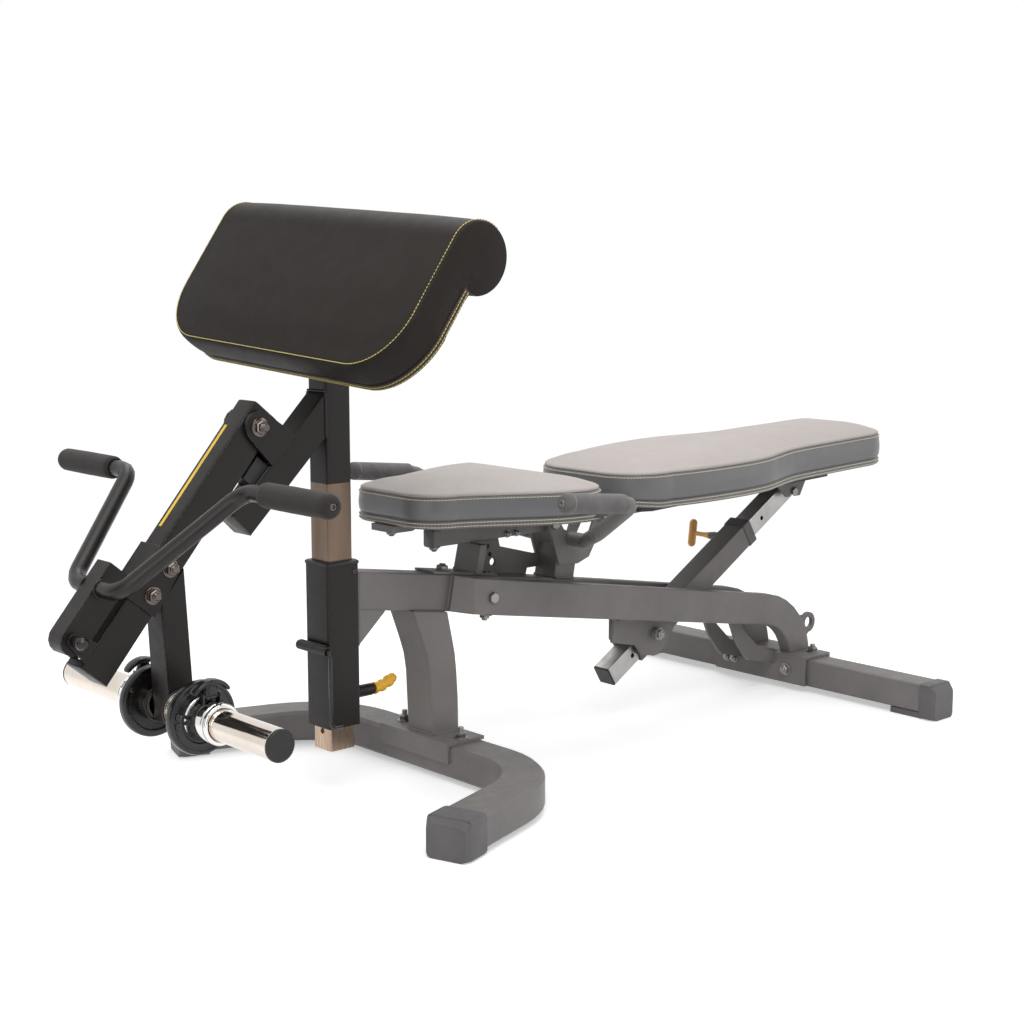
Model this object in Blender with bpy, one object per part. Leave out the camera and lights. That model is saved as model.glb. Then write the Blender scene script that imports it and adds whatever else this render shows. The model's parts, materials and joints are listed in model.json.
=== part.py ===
"""Preacher bench: a curl station with a weight-loaded lever on the front of a utility bench."""

from math import asin, atan2, cos, pi, radians, sin, sqrt, tan

import bmesh
import bpy
from mathutils import Matrix, Vector

# Metres, +Z up, +X to the rear. Sizes are in bench coordinates: zero is on the floor under the mast.
# ORIGIN_X moves the finished object so that the middle of its footprint is at zero.
ORIGIN_X = 0.4451
FIT = 0.0003
PIN_FIT = 0.0005

# Mast and its sleeve
MAST_HALF = 0.025
MAST_WALL = 0.0025
MAST_FOOT = 0.081
HOLE_PITCH = 0.034
HOLE_RADIUS = 0.0055
PIN_Z = 0.168
SLEEVE_HALF = MAST_HALF + 0.0075
SLEEVE_WALL = 0.003
SLEEVE_Z = (0.1215, 0.399)
LINER_LIP = 0.006

# Front beam and rails: heights fall towards the rear
BEAM_HALF = 0.0275
BEAM_HEIGHT = 0.0663
BEAM_TOP = 0.388
BEAM_SLOPE = 0.1508
BEAM_REAR = 0.560
RAIL_TOP = 0.3935
RAIL_SLOPE = 0.1705
RAIL_HEIGHT = 0.065
RAIL_OUTER = 0.070
RAIL_INNER = 0.040
RAIL_FRONT = 0.238
RAIL_BEND = (1.0511, 0.0520)
RAIL_BEND_RADIUS = 0.095
TUBE_WALL = 0.0025

# Floor bars
BAR_Z = (0.012, 0.069)
BAR_HALF = 0.033
FRONT_BAR_Z = (0.007, 0.064)
FRONT_BAR_HALF = 0.0385
FRONT_BAR_X = 0.2165
FRONT_BEND = 0.160
FRONT_BEND_Y = 0.1745
FRONT_TURN = 72
FRONT_TIP = -0.070
REAR_BAR_X = (1.134, 1.204)
REAR_BAR_END = 0.425
CAP_WALL = 0.0022
SADDLE_TOP = BAR_Z[1] + FIT + 0.006
UPRIGHT_HALF = 0.036
BASE_PLATE_Y = 0.094

# Preacher pad, in its own plan: s up the slope, t out of the face
PAD_SLOPE = 56.8
PAD_TILT = 3.5
PAD_ORIGIN = (-0.1305, 0.7567)
PAD_HALF = 0.318
PAD_CORNER = 0.105
PAD_BASE = 0.071
PAD_CROWN = 0.005
ROLL_CENTRE = (0.2385, -0.0573)
ROLL_RADIUS = 0.060
BOARD = 0.0115

# Brace and lever
BRACE_TOP = ((-0.209, 0.503), (-MAST_HALF - FIT, 0.6888))
BRACE_FOOT = ((-0.174, 0.468), (-MAST_HALF - FIT, 0.6137))
ARM_PIVOT = (-0.160, 0.641)
ARM_ANGLE = 50.0
ARM_LENGTH = (-0.466, 0.031)
ARM_HALF = 0.025
ARM_DEPTH = 0.056
ARM_WALL = 0.003
EAR = 0.006
SADDLE_PLATE = 0.003
PIVOT_BOLT = 0.006
LEG_X = (-0.342, -0.300, -0.3335, -0.286)
LEG_FOOT = 0.185

# Weight horns and lock collars
HORN = (-0.318, 0.209)
HORN_RADIUS = 0.025
HORN_TIP = 0.304
COLLAR_Y = {"near": 0.080, "far": 0.0405}
COLLAR_RADIUS = HORN_RADIUS + 0.0335
BOSS_RADIUS = HORN_RADIUS + 0.007
BOSS_LENGTH = 0.072
COLLAR_FIT = 0.0005
THUMB_Y = 0.038
THUMB_Z = HORN_RADIUS + 0.015

# Handle carrier
CARRIER_PIVOT = (-0.490, 0.343)
CARRIER_HALF = 0.0195
CARRIER_N = (0.036, 0.082)
CARRIER_TOP = -0.313
HANDLE_RADIUS = 0.0135
GRIP_RADIUS = 0.019
GRIP_Y = (0.212, 0.386)

# Seat
SEAT_PIVOT = (0.488, 0.416)
SEAT_FRONT = 0.115
SEAT_REAR = 0.505
SEAT_SEAM = 0.503
SEAT_BOTTOM = 0.452
SEAT_CROWN = 0.012
SEAT_TUBE_Z = (0.401, 0.432)
SEAT_TUBE_HALF = 0.0132
SEAT_TUBE_FRONT = 0.212
SEAT_HOLES = (202.9, 195.4, 187.9)
SEAT_HOLE_RADIUS = 0.1264
SIGHT_HOLE = (0.379, 0.352)

# Back
BACK_PIVOT = (0.610, 0.425)
BACK_FRONT = 0.569
BACK_REAR = 1.400
BACK_SEAM = 0.512
BACK_RISE = 0.032
BACK_DEPTH = 0.055
BACK_CROWN = 0.014
BACK_BOARD = 0.018

# Strut
STRUT_PIVOT = (0.760, 0.170)
STRUT_TOP = (1.183, 0.413)
STRUT_OFFSET = -0.0101
STRUT_HALF = 0.020
STRUT_SLEEVE_HALF = STRUT_HALF + 0.005
STRUT_SLEEVE = (-0.048, 0.328)
STRUT_PIN = 0.313
STRUT_TAIL = -0.128

# Bench side handles
SIDE_HANDLE = ((0.262, 0.290, 0.505), (0.428, 0.290, 0.488), (0.430, 0.203, 0.426), (0.528, 0.070, 0.385))
SIDE_RADIUS = 0.0135

# Colours: base colour, metallic, roughness
FINISHES = {
    "black": ((0.022, 0.020, 0.019), 0.0, 0.42),
    "grey": ((0.140, 0.135, 0.130), 0.0, 0.42),
    "plated": ((0.560, 0.500, 0.450), 1.0, 0.28),
    "chrome": ((0.780, 0.780, 0.780), 1.0, 0.08),
    "steel": ((0.450, 0.440, 0.430), 1.0, 0.35),
    "black_vinyl": ((0.045, 0.041, 0.040), 0.0, 0.55),
    "grey_vinyl": ((0.400, 0.380, 0.370), 0.0, 0.55),
    "board": ((0.030, 0.029, 0.028), 0.0, 0.80),
    "plastic": ((0.020, 0.020, 0.020), 0.0, 0.50),
    "foam": ((0.030, 0.026, 0.025), 0.0, 0.75),
    "yellow": ((0.900, 0.480, 0.030), 0.0, 0.40),
    "orange": ((0.800, 0.330, 0.060), 0.0, 0.40),
}

# Bodies: name, parent body, origin in bench coordinates
BODIES = (
    ("frame", None, (0, 0, 0)),
    ("mast_body", "frame", (0, 0, 0)),
    ("lever_body", "mast_body", (ARM_PIVOT[0], 0, ARM_PIVOT[1])),
    ("carrier_body", "lever_body", (CARRIER_PIVOT[0], 0, CARRIER_PIVOT[1])),
    ("collar_near_body", "lever_body", (HORN[0], -COLLAR_Y["near"], HORN[1])),
    ("collar_far_body", "lever_body", (HORN[0], COLLAR_Y["far"], HORN[1])),
    ("thumb_near_body", "collar_near_body", (HORN[0], -COLLAR_Y["near"] - THUMB_Y, HORN[1] + THUMB_Z)),
    ("thumb_far_body", "collar_far_body", (HORN[0], COLLAR_Y["far"] + THUMB_Y, HORN[1] + THUMB_Z)),
    ("mast_pin_body", "frame", (SLEEVE_HALF, 0, PIN_Z)),
    ("latch_body", "frame", (-SLEEVE_HALF - 0.008, 0, 0.259)),
    ("seat_body", "frame", (SEAT_PIVOT[0], 0, SEAT_PIVOT[1])),
    ("seat_pin_body", "seat_body", (SEAT_PIVOT[0], 0.029, SEAT_PIVOT[1])),
    ("back_body", "frame", (BACK_PIVOT[0], 0, BACK_PIVOT[1])),
    ("strut_sleeve_body", "frame", (STRUT_PIVOT[0], 0, STRUT_PIVOT[1])),
    ("strut_inner_body", "strut_sleeve_body", (STRUT_PIVOT[0], 0, STRUT_PIVOT[1])),
    ("strut_pin_body", "strut_sleeve_body", (STRUT_PIVOT[0], 0.025, STRUT_PIVOT[1])),
)
ORIGINS = {name: Vector(origin) for name, _, origin in BODIES}


# Scene helpers


def clear():
    for old in list(bpy.data.objects):
        bpy.data.objects.remove(old)


def make_bodies():
    for name, parent, origin in BODIES:
        empty = bpy.data.objects.new(name, None)
        bpy.context.scene.collection.objects.link(empty)
        if parent is None:
            empty.location = (-ORIGIN_X, 0, 0)
        else:
            empty.parent = bpy.data.objects[parent]
            empty.location = Vector(origin) - ORIGINS[parent]


def material(name, finish):
    colour, metallic, roughness = FINISHES[finish]
    made = bpy.data.materials.new(name)
    made.use_nodes = True
    shader = made.node_tree.nodes["Principled BSDF"]
    shader.inputs["Base Color"].default_value = (*colour, 1)
    shader.inputs["Metallic"].default_value = metallic
    shader.inputs["Roughness"].default_value = roughness
    return made


def make_object(name, bm, body):
    bmesh.ops.translate(bm, verts=bm.verts, vec=-ORIGINS[body])
    mesh = bpy.data.meshes.new(name)
    bm.to_mesh(mesh)
    bm.free()
    made = bpy.data.objects.new(name, mesh)
    bpy.context.scene.collection.objects.link(made)
    made.parent = bpy.data.objects[body]
    return made


def node(name, bm, body, finish):
    made = make_object(name, bm, body)
    made.data.materials.append(material(name, finish))
    made.data.shade_smooth()
    made.data.set_sharp_from_angle(angle=radians(32))
    return made


def combine(target, bm, operation):
    tool = make_object(target.name + "_tool", bm, target.parent.name)
    tool.hide_render = True
    tool.display_type = "WIRE"
    step = target.modifiers.new(operation.title(), "BOOLEAN")
    step.operation = operation
    step.solver = "EXACT"
    step.object = tool


def join(target, bm):
    combine(target, bm, "UNION")


def cut(target, bm):
    combine(target, bm, "DIFFERENCE")


# Shape helpers


def loft(rings, loop=False):
    bm = bmesh.new()
    rows = [[bm.verts.new(point) for point in ring] for ring in rings]
    pairs = list(zip(rows, rows[1:]))
    if loop:
        pairs.append((rows[-1], rows[0]))
    for low, high in pairs:
        count = max(len(low), len(high))
        for i in range(count):
            j = (i + 1) % count
            corners = [low[i % len(low)], low[j % len(low)], high[j % len(high)], high[i % len(high)]]
            bm.faces.new([v for k, v in enumerate(corners) if v not in corners[:k]])
    if not loop:
        for row in (rows[0][::-1], rows[-1]):
            if len(row) > 2:
                bm.faces.new(row)
    if bm.calc_volume(signed=True) < 0:
        bmesh.ops.reverse_faces(bm, faces=bm.faces)
    return bm


def rounded(centre, a, b, radius, steps=2):
    """Rounded rectangle with half sides a and b."""
    centre, a, b = Vector(centre), Vector(a), Vector(b)
    ua, ub = a.normalized(), b.normalized()
    points = []
    for corner, (sa, sb) in enumerate(((1, 1), (-1, 1), (-1, -1), (1, -1))):
        middle = centre + ua * sa * (a.length - radius) + ub * sb * (b.length - radius)
        for i in range(steps + 1):
            angle = (corner + i / steps) * pi / 2
            points.append(middle + ua * radius * cos(angle) + ub * radius * sin(angle))
    return points


def circle(centre, axis, radius, sides, hexagon=False):
    centre, axis = Vector(centre), Vector(axis).normalized()
    a = axis.orthogonal().normalized() if abs(axis.y) < 0.9 else Vector((0, 0, 1))
    b = axis.cross(a)
    points = []
    for i in range(sides):
        angle = 2 * pi * i / sides
        reach = radius * (cos(pi / 6) if hexagon and i % 2 else 1)
        points.append(centre + (a * cos(angle) + b * sin(angle)) * reach)
    return points


def turned(origin, axis, profile, sides, loop=False):
    """Solid of revolution: profile holds (distance along the axis, radius)."""
    origin, axis = Vector(origin), Vector(axis).normalized()
    rings = []
    for along, radius in profile:
        centre = origin + axis * along
        rings.append(circle(centre, axis, radius, sides) if radius else [centre])
    return loft(rings, loop)


def bolt(x, z, y0, y1, radius, head, height):
    """Through bolt along Y with a hexagon head and nut outside y0 and y1."""
    rings = []
    for y, size, hexagon in (
        (y0 - height, head * 0.86, True),
        (y0 - height * 0.8, head, True),
        (y0, head, True),
        (y0, radius, False),
        (y1, radius, False),
        (y1, head, True),
        (y1 + height * 0.8, head, True),
        (y1 + height, head * 0.86, True),
    ):
        rings.append(circle((x, y, z), (0, 1, 0), size, 12, hexagon))
    return loft(rings)


def head(point, axis, radius, height):
    """Bolt head that starts 0.5 mm inside the surface it is fused to."""
    point, axis = Vector(point), Vector(axis).normalized()
    rings = [
        circle(point - axis * 0.0005, axis, radius, 12, True),
        circle(point + axis * height * 0.8, axis, radius, 12, True),
        circle(point + axis * height, axis, radius * 0.8, 12, True),
    ]
    return loft(rings)


def drill(point, axis, radius, length, sides=12):
    """Cutter for a round hole, centred on a point."""
    point, axis = Vector(point), Vector(axis).normalized()
    half = axis * length / 2
    return loft([circle(point - half, axis, radius, sides), circle(point + half, axis, radius, sides)])


def prism(outline, y0, y1):
    return loft([[Vector((x, y, z)) for x, z in outline] for y in (y0, y1)])


def block(x0, x1, y0, y1, z0, z1):
    return prism(((x0, z0), (x1, z0), (x1, z1), (x0, z1)), y0, y1)


def station(top, bottom, half, inset=0.0, radius=0.004, y=0.0):
    """Ring of a tube whose upper and lower edges pass through two (x, z) points."""
    top, bottom = Vector((top[0], y, top[1])), Vector((bottom[0], y, bottom[1]))
    up = (top - bottom) / 2
    up -= up.normalized() * inset
    return rounded((top + bottom) / 2, up, (0, half - inset, 0), max(radius - inset, 0.0008))


def tube(stations, half, wall=TUBE_WALL, radius=0.004, y=0.0):
    """Open square tube through (top, bottom) stations."""
    outer = [station(top, bottom, half, 0.0, radius, y) for top, bottom in stations]
    inner = [station(top, bottom, half, wall, radius, y) for top, bottom in stations]
    return loft(outer + inner[::-1], loop=True)


def fillet(points, radius, steps):
    """Path through points with its corners rounded."""
    points = [Vector(p) for p in points]
    path = [points[0]]
    for a, b, c in zip(points, points[1:], points[2:]):
        u, v = (a - b).normalized(), (c - b).normalized()
        half = u.angle(v) / 2
        middle = b + (u + v).normalized() * radius / sin(half)
        start = b + u * radius / tan(half) - middle
        axis = start.cross(b + v * radius / tan(half) - middle).normalized()
        for i in range(steps + 1):
            path.append(middle + Matrix.Rotation((pi - 2 * half) * i / steps, 3, axis) @ start)
    return path + [points[-1]]


def sweep(path, radius, sides=12):
    """Round bar along a path."""
    rings = []
    side = None
    for i, point in enumerate(path):
        ahead = path[min(i + 1, len(path) - 1)] - point
        behind = point - path[max(i - 1, 0)]
        along = (ahead.normalized() + behind.normalized()).normalized()
        side = along.orthogonal() if side is None else side - along * side.dot(along)
        side.normalize()
        other = along.cross(side)
        turn = [2 * pi * k / sides for k in range(sides)]
        rings.append([point + (side * cos(t) + other * sin(t)) * radius for t in turn])
    return loft(rings)


def arc(centre, radius, start, end, steps):
    """Points of an arc in a plane, angles in degrees."""
    turn = [radians(start + (end - start) * i / steps) for i in range(steps + 1)]
    return [(centre[0] + radius * cos(t), centre[1] + radius * sin(t)) for t in turn]


# Floor bars


def front_arm():
    """End of the bend, end of the arm and the arm's direction on the far side, in plan."""
    turn = radians(FRONT_TURN)
    bend = Vector((FRONT_BAR_X - FRONT_BEND + FRONT_BEND * cos(turn), FRONT_BEND_Y + FRONT_BEND * sin(turn), 0))
    along = Vector((-sin(turn), cos(turn), 0))
    return bend, bend + along * (bend.x - FRONT_TIP) / sin(turn), along


def front_base_bar():
    """U-shaped bar whose arms spread towards the front."""
    middle = sum(FRONT_BAR_Z) / 2
    up = Vector((0, 0, (FRONT_BAR_Z[1] - FRONT_BAR_Z[0]) / 2))
    tip = front_arm()[1]
    path = [((tip.x, tip.y), FRONT_TURN)]
    bend = arc((FRONT_BAR_X - FRONT_BEND, FRONT_BEND_Y), FRONT_BEND, FRONT_TURN, 0, 8)
    path += [(point, FRONT_TURN * (1 - i / 8)) for i, point in enumerate(bend)]
    path += [((x, -y), -a) for (x, y), a in path[::-1]]
    outer, inner = [], []
    for (x, y), angle in path:
        across = Vector((cos(radians(angle)), sin(radians(angle)), 0))
        for rings, inset in ((outer, 0.0), (inner, TUBE_WALL)):
            size = across * (FRONT_BAR_HALF - inset)
            height = up - up.normalized() * inset
            rings.append(rounded((x, y, middle), size, height, 0.006 - inset, 1))
    node("front_base_bar", loft(outer + inner[::-1], loop=True), "frame", "grey")


def foot_cap(name, tip, mouth, across, heights):
    """Cap over a bar end: tip and mouth are its ends, across is the bar's half width."""
    tip, mouth, across = Vector(tip), Vector(mouth), Vector(across)
    out = (tip - mouth).normalized()
    top = heights[1] + FIT + CAP_WALL
    fit = across.normalized() * (across.length + FIT)
    wide = across.normalized() * (across.length + FIT + CAP_WALL)
    rings = []
    middle, half = sum(heights) / 2, (heights[1] - heights[0]) / 2 + FIT
    for point in (tip - out * 0.0098, mouth):
        rings.append(rounded(point + Vector((0, 0, middle)), fit, (0, 0, half), 0.006))
    for point, height, width in ((mouth, top, 1.0), (tip - out * 0.012, top, 1.0), (tip, top - 0.012, 0.86)):
        rings.append(rounded(point + Vector((0, 0, height / 2)), wide * width, (0, 0, height / 2), 0.008))
    return node(name, loft(rings), "frame", "plastic")


def front_caps():
    _, tip, along = front_arm()
    for name, side in (("front_cap_near", -1), ("front_cap_far", 1)):
        mirror = Vector((1, side, 1))
        end, mouth = (tip + along * 0.0101) * mirror, (tip - along * 0.046) * mirror
        across = Vector((-along.y * side, along.x, 0)) * FRONT_BAR_HALF
        foot_cap(name, end, mouth, across, FRONT_BAR_Z)


def rear_base_bar():
    x = sum(REAR_BAR_X) / 2
    middle, up = sum(BAR_Z) / 2, (BAR_Z[1] - BAR_Z[0]) / 2
    outer, inner = [], []
    for y in (-REAR_BAR_END, REAR_BAR_END):
        outer.append(rounded((x, y, middle), (BAR_HALF, 0, 0), (0, 0, up), 0.006))
        inner.append(rounded((x, y, middle), (BAR_HALF - TUBE_WALL, 0, 0), (0, 0, up - TUBE_WALL), 0.0035))
    node("rear_base_bar", loft(outer + inner[::-1], loop=True), "frame", "grey")
    for name, side in (("rear_cap_near", -1), ("rear_cap_far", 1)):
        tip = side * (REAR_BAR_END + 0.0101)
        cap = foot_cap(name, (x, tip, 0), (x, side * 0.400, 0), (BAR_HALF, 0, 0), BAR_Z)
        join(cap, block(x - 0.030, x + 0.030, side * 0.330, side * 0.404, 0, BAR_Z[0] - FIT))


# Upright, beam and rails


def beam_top(x):
    return BEAM_TOP - BEAM_SLOPE * x


def rail_top(x):
    return RAIL_TOP - RAIL_SLOPE * x


def rail_bottom(x):
    return rail_top(x) - RAIL_HEIGHT * sqrt(1 + RAIL_SLOPE**2)


def upright():
    """Curved tube on a saddle that folds down over the front of the bar."""
    edges = ((0.1880, 0.2500, 0.070), (0.1850, 0.2490, 0.13), (0.1828, 0.2460, 0.18), (0.1775, 0.2425, 0.212),
             (0.1690, 0.2370, 0.238))
    stations = [((rear, z), (front, z)) for front, rear, z in edges]
    gap = BEAM_HEIGHT + FIT
    stations.append(((0.226, beam_top(0.226) - gap), (0.146, beam_top(0.146) - gap)))
    made = node("upright", tube(stations, UPRIGHT_HALF, 0.003, 0.006), "frame", "grey")
    y, low, top = BASE_PLATE_Y, FRONT_BAR_Z[1] + FIT, FRONT_BAR_Z[1] + 0.0065
    front = FRONT_BAR_X - FRONT_BAR_HALF - FIT
    join(made, block(front - 0.005, FRONT_BAR_X + FRONT_BAR_HALF + 0.002, -y, y, low, top))
    join(made, block(front - 0.005, front, -y, y, low - 0.030, low + 0.001))
    for py in (-0.0785, 0.0785):
        join(made, head((FRONT_BAR_X, py, top), (0, 0, 1), 0.0095, 0.008))


def front_beam():
    drop = BEAM_HEIGHT * sin(atan2(BEAM_SLOPE, 1))
    down = BEAM_HEIGHT * cos(atan2(BEAM_SLOPE, 1))
    front = SLEEVE_HALF + FIT
    stations = [((front, beam_top(front)), (front, beam_top(front) - BEAM_HEIGHT))]
    stations.append(((BEAM_REAR, beam_top(BEAM_REAR)), (BEAM_REAR - drop, beam_top(BEAM_REAR) - down)))
    made = node("front_beam", tube(stations, BEAM_HALF), "frame", "grey")
    low = beam_top(0.0905) - BEAM_HEIGHT
    gusset = ((front, low + 0.0097), (0.0905, low + 0.001), (0.0905, low - 0.001), (0.039, 0.2608), (front, 0.2553))
    join(made, prism(gusset, -BEAM_HALF, BEAM_HALF))
    cut(made, drill((0.300, 0, 0.309), (0, 1, 0), 0.0055, 0.08))


def rail_stations():
    slope = atan2(-RAIL_SLOPE, 1)
    stations = []
    for x, low in ((RAIL_FRONT, RAIL_FRONT - 0.012), (0.258, 0.256)):
        stations.append(((x, rail_top(x)), (low, rail_bottom(low))))
    cx, cz = RAIL_BEND
    for i in range(7):
        angle = pi / 2 + slope - i * radians(62) / 6
        direction = Vector((cos(angle), sin(angle)))
        inner, outer = RAIL_BEND_RADIUS, RAIL_BEND_RADIUS + RAIL_HEIGHT
        stations.append(((cx + outer * direction.x, cz + outer * direction.y),
                         (cx + inner * direction.x, cz + inner * direction.y)))
    foot = SADDLE_TOP + FIT
    outer = cx + sqrt((RAIL_BEND_RADIUS + RAIL_HEIGHT) ** 2 - (foot - cz) ** 2)
    inner = cx + sqrt(RAIL_BEND_RADIUS**2 - (foot - cz) ** 2)
    stations.append(((outer, foot), (inner, foot)))
    return stations


def rails():
    """The front end of each rail flares out from the beam's side."""
    for name, side in (("rail_near", -1), ("rail_far", 1)):
        outer, inner = [], []
        for i, (top, bottom) in enumerate(rail_stations()):
            wide = (BEAM_HALF + 0.0060, 0.0057) if i == 0 else ((RAIL_OUTER + RAIL_INNER) / 2, 0.015)
            y, half = side * wide[0], wide[1]
            outer.append(station(top, bottom, half, 0.0, 0.005, y))
            inner.append(station(top, bottom, half, TUBE_WALL, 0.005, y))
        made = node(name, loft(outer + inner[::-1], loop=True), "frame", "grey")
        cut(made, drill((0.300, side * 0.055, 0.309), (0, 1, 0), 0.0055, 0.06))
        join(made, head((0.294, side * 0.055, rail_bottom(0.294)), (-RAIL_SLOPE, 0, -1), 0.0095, 0.005))
    node("rail_bolt", bolt(0.300, 0.309, -RAIL_OUTER - FIT, RAIL_OUTER + FIT, 0.005, 0.0105, 0.007), "frame", "steel")


def rear_saddle():
    x0, x1 = REAR_BAR_X[0] - 0.001, REAR_BAR_X[1] + 0.001
    made = node("rear_saddle", block(x0 - 0.006, x1 + 0.006, -0.122, 0.122, 0.014, SADDLE_TOP), "frame", "grey")
    cut(made, block(x0, x1, -0.2, 0.2, 0, BAR_Z[1] + FIT))
    for side in (-1, 1):
        y0, y1 = side * 0.0335, side * 0.0395
        web = ((0.979, rail_bottom(0.979) + 0.004), (1.020, rail_bottom(1.020) + 0.004), (1.020, 0.143),
               (1.070, 0.098), (1.1285, 0.0795), (1.150, SADDLE_TOP - 0.001), (1.150, 0.0700), (1.1285, 0.0700),
               (1.1285, 0.050), (1.044, 0.070), (1.031, 0.080), (0.999, 0.121))
        join(made, prism(web, y0, y1))
        join(made, head((1.188, side * 0.094, SADDLE_TOP), (0, 0, 1), 0.010, 0.008))
    for y, radius in ((-0.071, 0.010), (0.069, 0.0075), (0.0885, 0.0075)):
        join(made, head((x0 - 0.006, y, 0.043), (-1, 0, 0), radius, 0.007))
    join(made, lift_eye(x1 + 0.005))
    cut(made, drill((1.288, 0, 0.110), (0, 1, 0), 0.0125, 0.02, 16))


def lift_eye(x):
    outline = [(x, 0.020), (x, 0.072), (1.268, 0.128)]
    outline += arc((1.288, 0.110), 0.0225, 130, -90, 9)
    bm = prism(outline + [(1.240, 0.040)], -0.004, 0.004)
    return bm


def strut_bracket():
    """Two plates between the rails, joined by a strip under the rails and by a cross bar."""
    px, pz = STRUT_PIVOT
    front = [(0.724, 0.130), (0.706, 0.153), (0.640, 0.168), (0.641, 0.184), (0.644, 0.208)]
    rear = [(0.825, rail_bottom(0.825) + 0.030), (0.825, 0.181), (0.818, 0.177)]
    rear += arc((px, pz - 0.010), 0.036, -35, -115, 4)
    near = rear + front + [(0.644, rail_bottom(0.644) + 0.030)]
    far = rear + [(0.724, 0.130), (0.700, 0.156), (0.700, rail_bottom(0.700) + 0.030)]
    made = node("strut_bracket", prism(near, -0.0345, -0.0285), "frame", "grey")
    join(made, prism(far, 0.0285, 0.0345))
    strip = []
    for x, drop in ((0.650, 0.006), (0.720, 0.006), (0.720, FIT), (0.650, FIT)):
        strip.append((x, rail_bottom(x) - drop))
    join(made, prism(strip, -0.047, 0.047))
    join(made, block(0.702, 0.722, -0.030, 0.030, 0.174, 0.190))
    cut(made, drill((px, 0, pz), (0, 1, 0), 0.0085, 0.2))


# Seat support, back hinge and side handles


def seat_hole(angle):
    x, z = SEAT_PIVOT
    return x + SEAT_HOLE_RADIUS * cos(radians(angle)), z + SEAT_HOLE_RADIUS * sin(radians(angle))


def seat_bracket():
    """Post and drilled side plate on a foot that lies on the beam."""
    low = [(x, beam_top(x) + 0.003) for x in (0.3110, 0.2925)]
    foot = [((0.3225, 0.3960), (0.3045, 0.3980)), low]
    made = node("seat_bracket", tube(foot, 0.032, 0.003), "frame", "grey")
    plate = ((0.201, beam_top(0.201) + FIT), (0.347, beam_top(0.347) + FIT),
             (0.347, beam_top(0.347) + 0.005), (0.201, beam_top(0.201) + 0.005))
    join(made, prism(plate, -0.0272, 0.0272))
    join(made, head((0.241, 0, beam_top(0.241) + 0.005), (0, 0, 1), 0.011, 0.007))
    side = ((0.316, beam_top(0.316) + 0.002), (0.316, 0.3960), (0.3925, 0.3960), (0.397, 0.379), (0.481, 0.3565),
            (0.4974, 0.3545), (0.4925, 0.3300), (0.465, 0.3300), (0.462, beam_top(0.462) + FIT),
            (0.348, beam_top(0.348) + FIT))
    join(made, prism(side, 0.0195, 0.0245))
    for x, z in [seat_hole(angle) for angle in SEAT_HOLES]:
        cut(made, drill((x, 0.022, z), (0, 1, 0), 0.0045, 0.012))
    cut(made, drill((SIGHT_HOLE[0], 0.022, SIGHT_HOLE[1]), (0, 1, 0), 0.0070, 0.012, 16))


def rear_post():
    foot = FIT + 0.0002
    stations = [((0.554, 0.3720), (0.5025, 0.3760)), ((0.542, beam_top(0.542) + foot), (0.490, beam_top(0.490) + foot))]
    made = node("rear_post", tube(stations, 0.028, 0.003), "frame", "grey")
    outline = arc(SEAT_PIVOT, 0.014, 215, 15, 6) + [(0.512, 0.404), (0.545, 0.391), (0.576, 0.380)]
    outline += arc(BACK_PIVOT, 0.016, 190, -45, 7) + [(0.578, 0.345), (0.548, 0.335), (0.500, 0.338)]
    for side in (-1, 1):
        ear = prism(outline, side * 0.0254, side * 0.0314)
        join(made, ear)
    for x, z in (SEAT_PIVOT, BACK_PIVOT):
        cut(made, drill((x, 0, z), (0, 1, 0), 0.0055, 0.1))
    side_handles(made)
    node("seat_pivot_bolt", bolt(*SEAT_PIVOT, -0.0317, 0.0317, 0.005, 0.010, 0.006), "frame", "steel")
    node("back_pivot_bolt", bolt(*BACK_PIVOT, -0.0371, 0.0371, 0.005, 0.010, 0.006), "frame", "steel")


def side_handles(post):
    """Bent tubes welded to the post, with a grip on each."""
    for name, side in (("near", -1), ("far", 1)):
        points = [(x, y * side, z) for x, y, z in SIDE_HANDLE]
        points.append((0.528, side * 0.0272, 0.385))
        join(post, sweep(fillet(points, 0.024, 3), SIDE_RADIUS, 12))
        start, bend = Vector(points[0]), Vector(points[1])
        axis = (bend - start).normalized()
        r = SIDE_RADIUS + FIT
        profile = ((-0.001, 0), (-0.001, r), (0.1405, r), (0.1405, 0.0170), (0.002, 0.0170), (-0.004, 0.0140), (-0.005, 0))
        node("side_grip_" + name, turned(start, axis, profile, 16), "frame", "foam")


# Mast sleeve and its fittings


def mast_sleeve():
    stations = [((SLEEVE_HALF, z), (-SLEEVE_HALF, z)) for z in SLEEVE_Z]
    made = node("mast_sleeve", tube(stations, SLEEVE_HALF, SLEEVE_WALL, 0.005), "frame", "black")
    stub = []
    for x in (SLEEVE_HALF - 0.0005, 0.110):
        middle = beam_top(x) - BEAM_HEIGHT / 2
        stub.append(((x, middle + 0.029), (x, middle - 0.029)))
    join(made, tube(stub, 0.0238, 0.003))
    peg = ((-0.040, 0.0047), (0.040, 0.0047), (0.040, 0.0083), (-0.040, 0.0083))
    join(made, turned((-SLEEVE_HALF - 0.008, 0, 0.259), (0, 1, 0), peg, 12, loop=True))
    join(made, head((SLEEVE_HALF - 0.010, -SLEEVE_HALF, 0.386), (0, -1, 0), 0.004, 0.001))
    cut(made, drill((SLEEVE_HALF, 0, PIN_Z), (1, 0, 0), HOLE_RADIUS, 0.02))
    housing = ((-0.0005, 0.0052), (0.052, 0.0052), (0.052, 0.0085), (0.046, 0.0105), (-0.0005, 0.0105))
    join(made, turned((SLEEVE_HALF, 0, PIN_Z), (1, 0, 0), housing, 16, loop=True))


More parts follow.
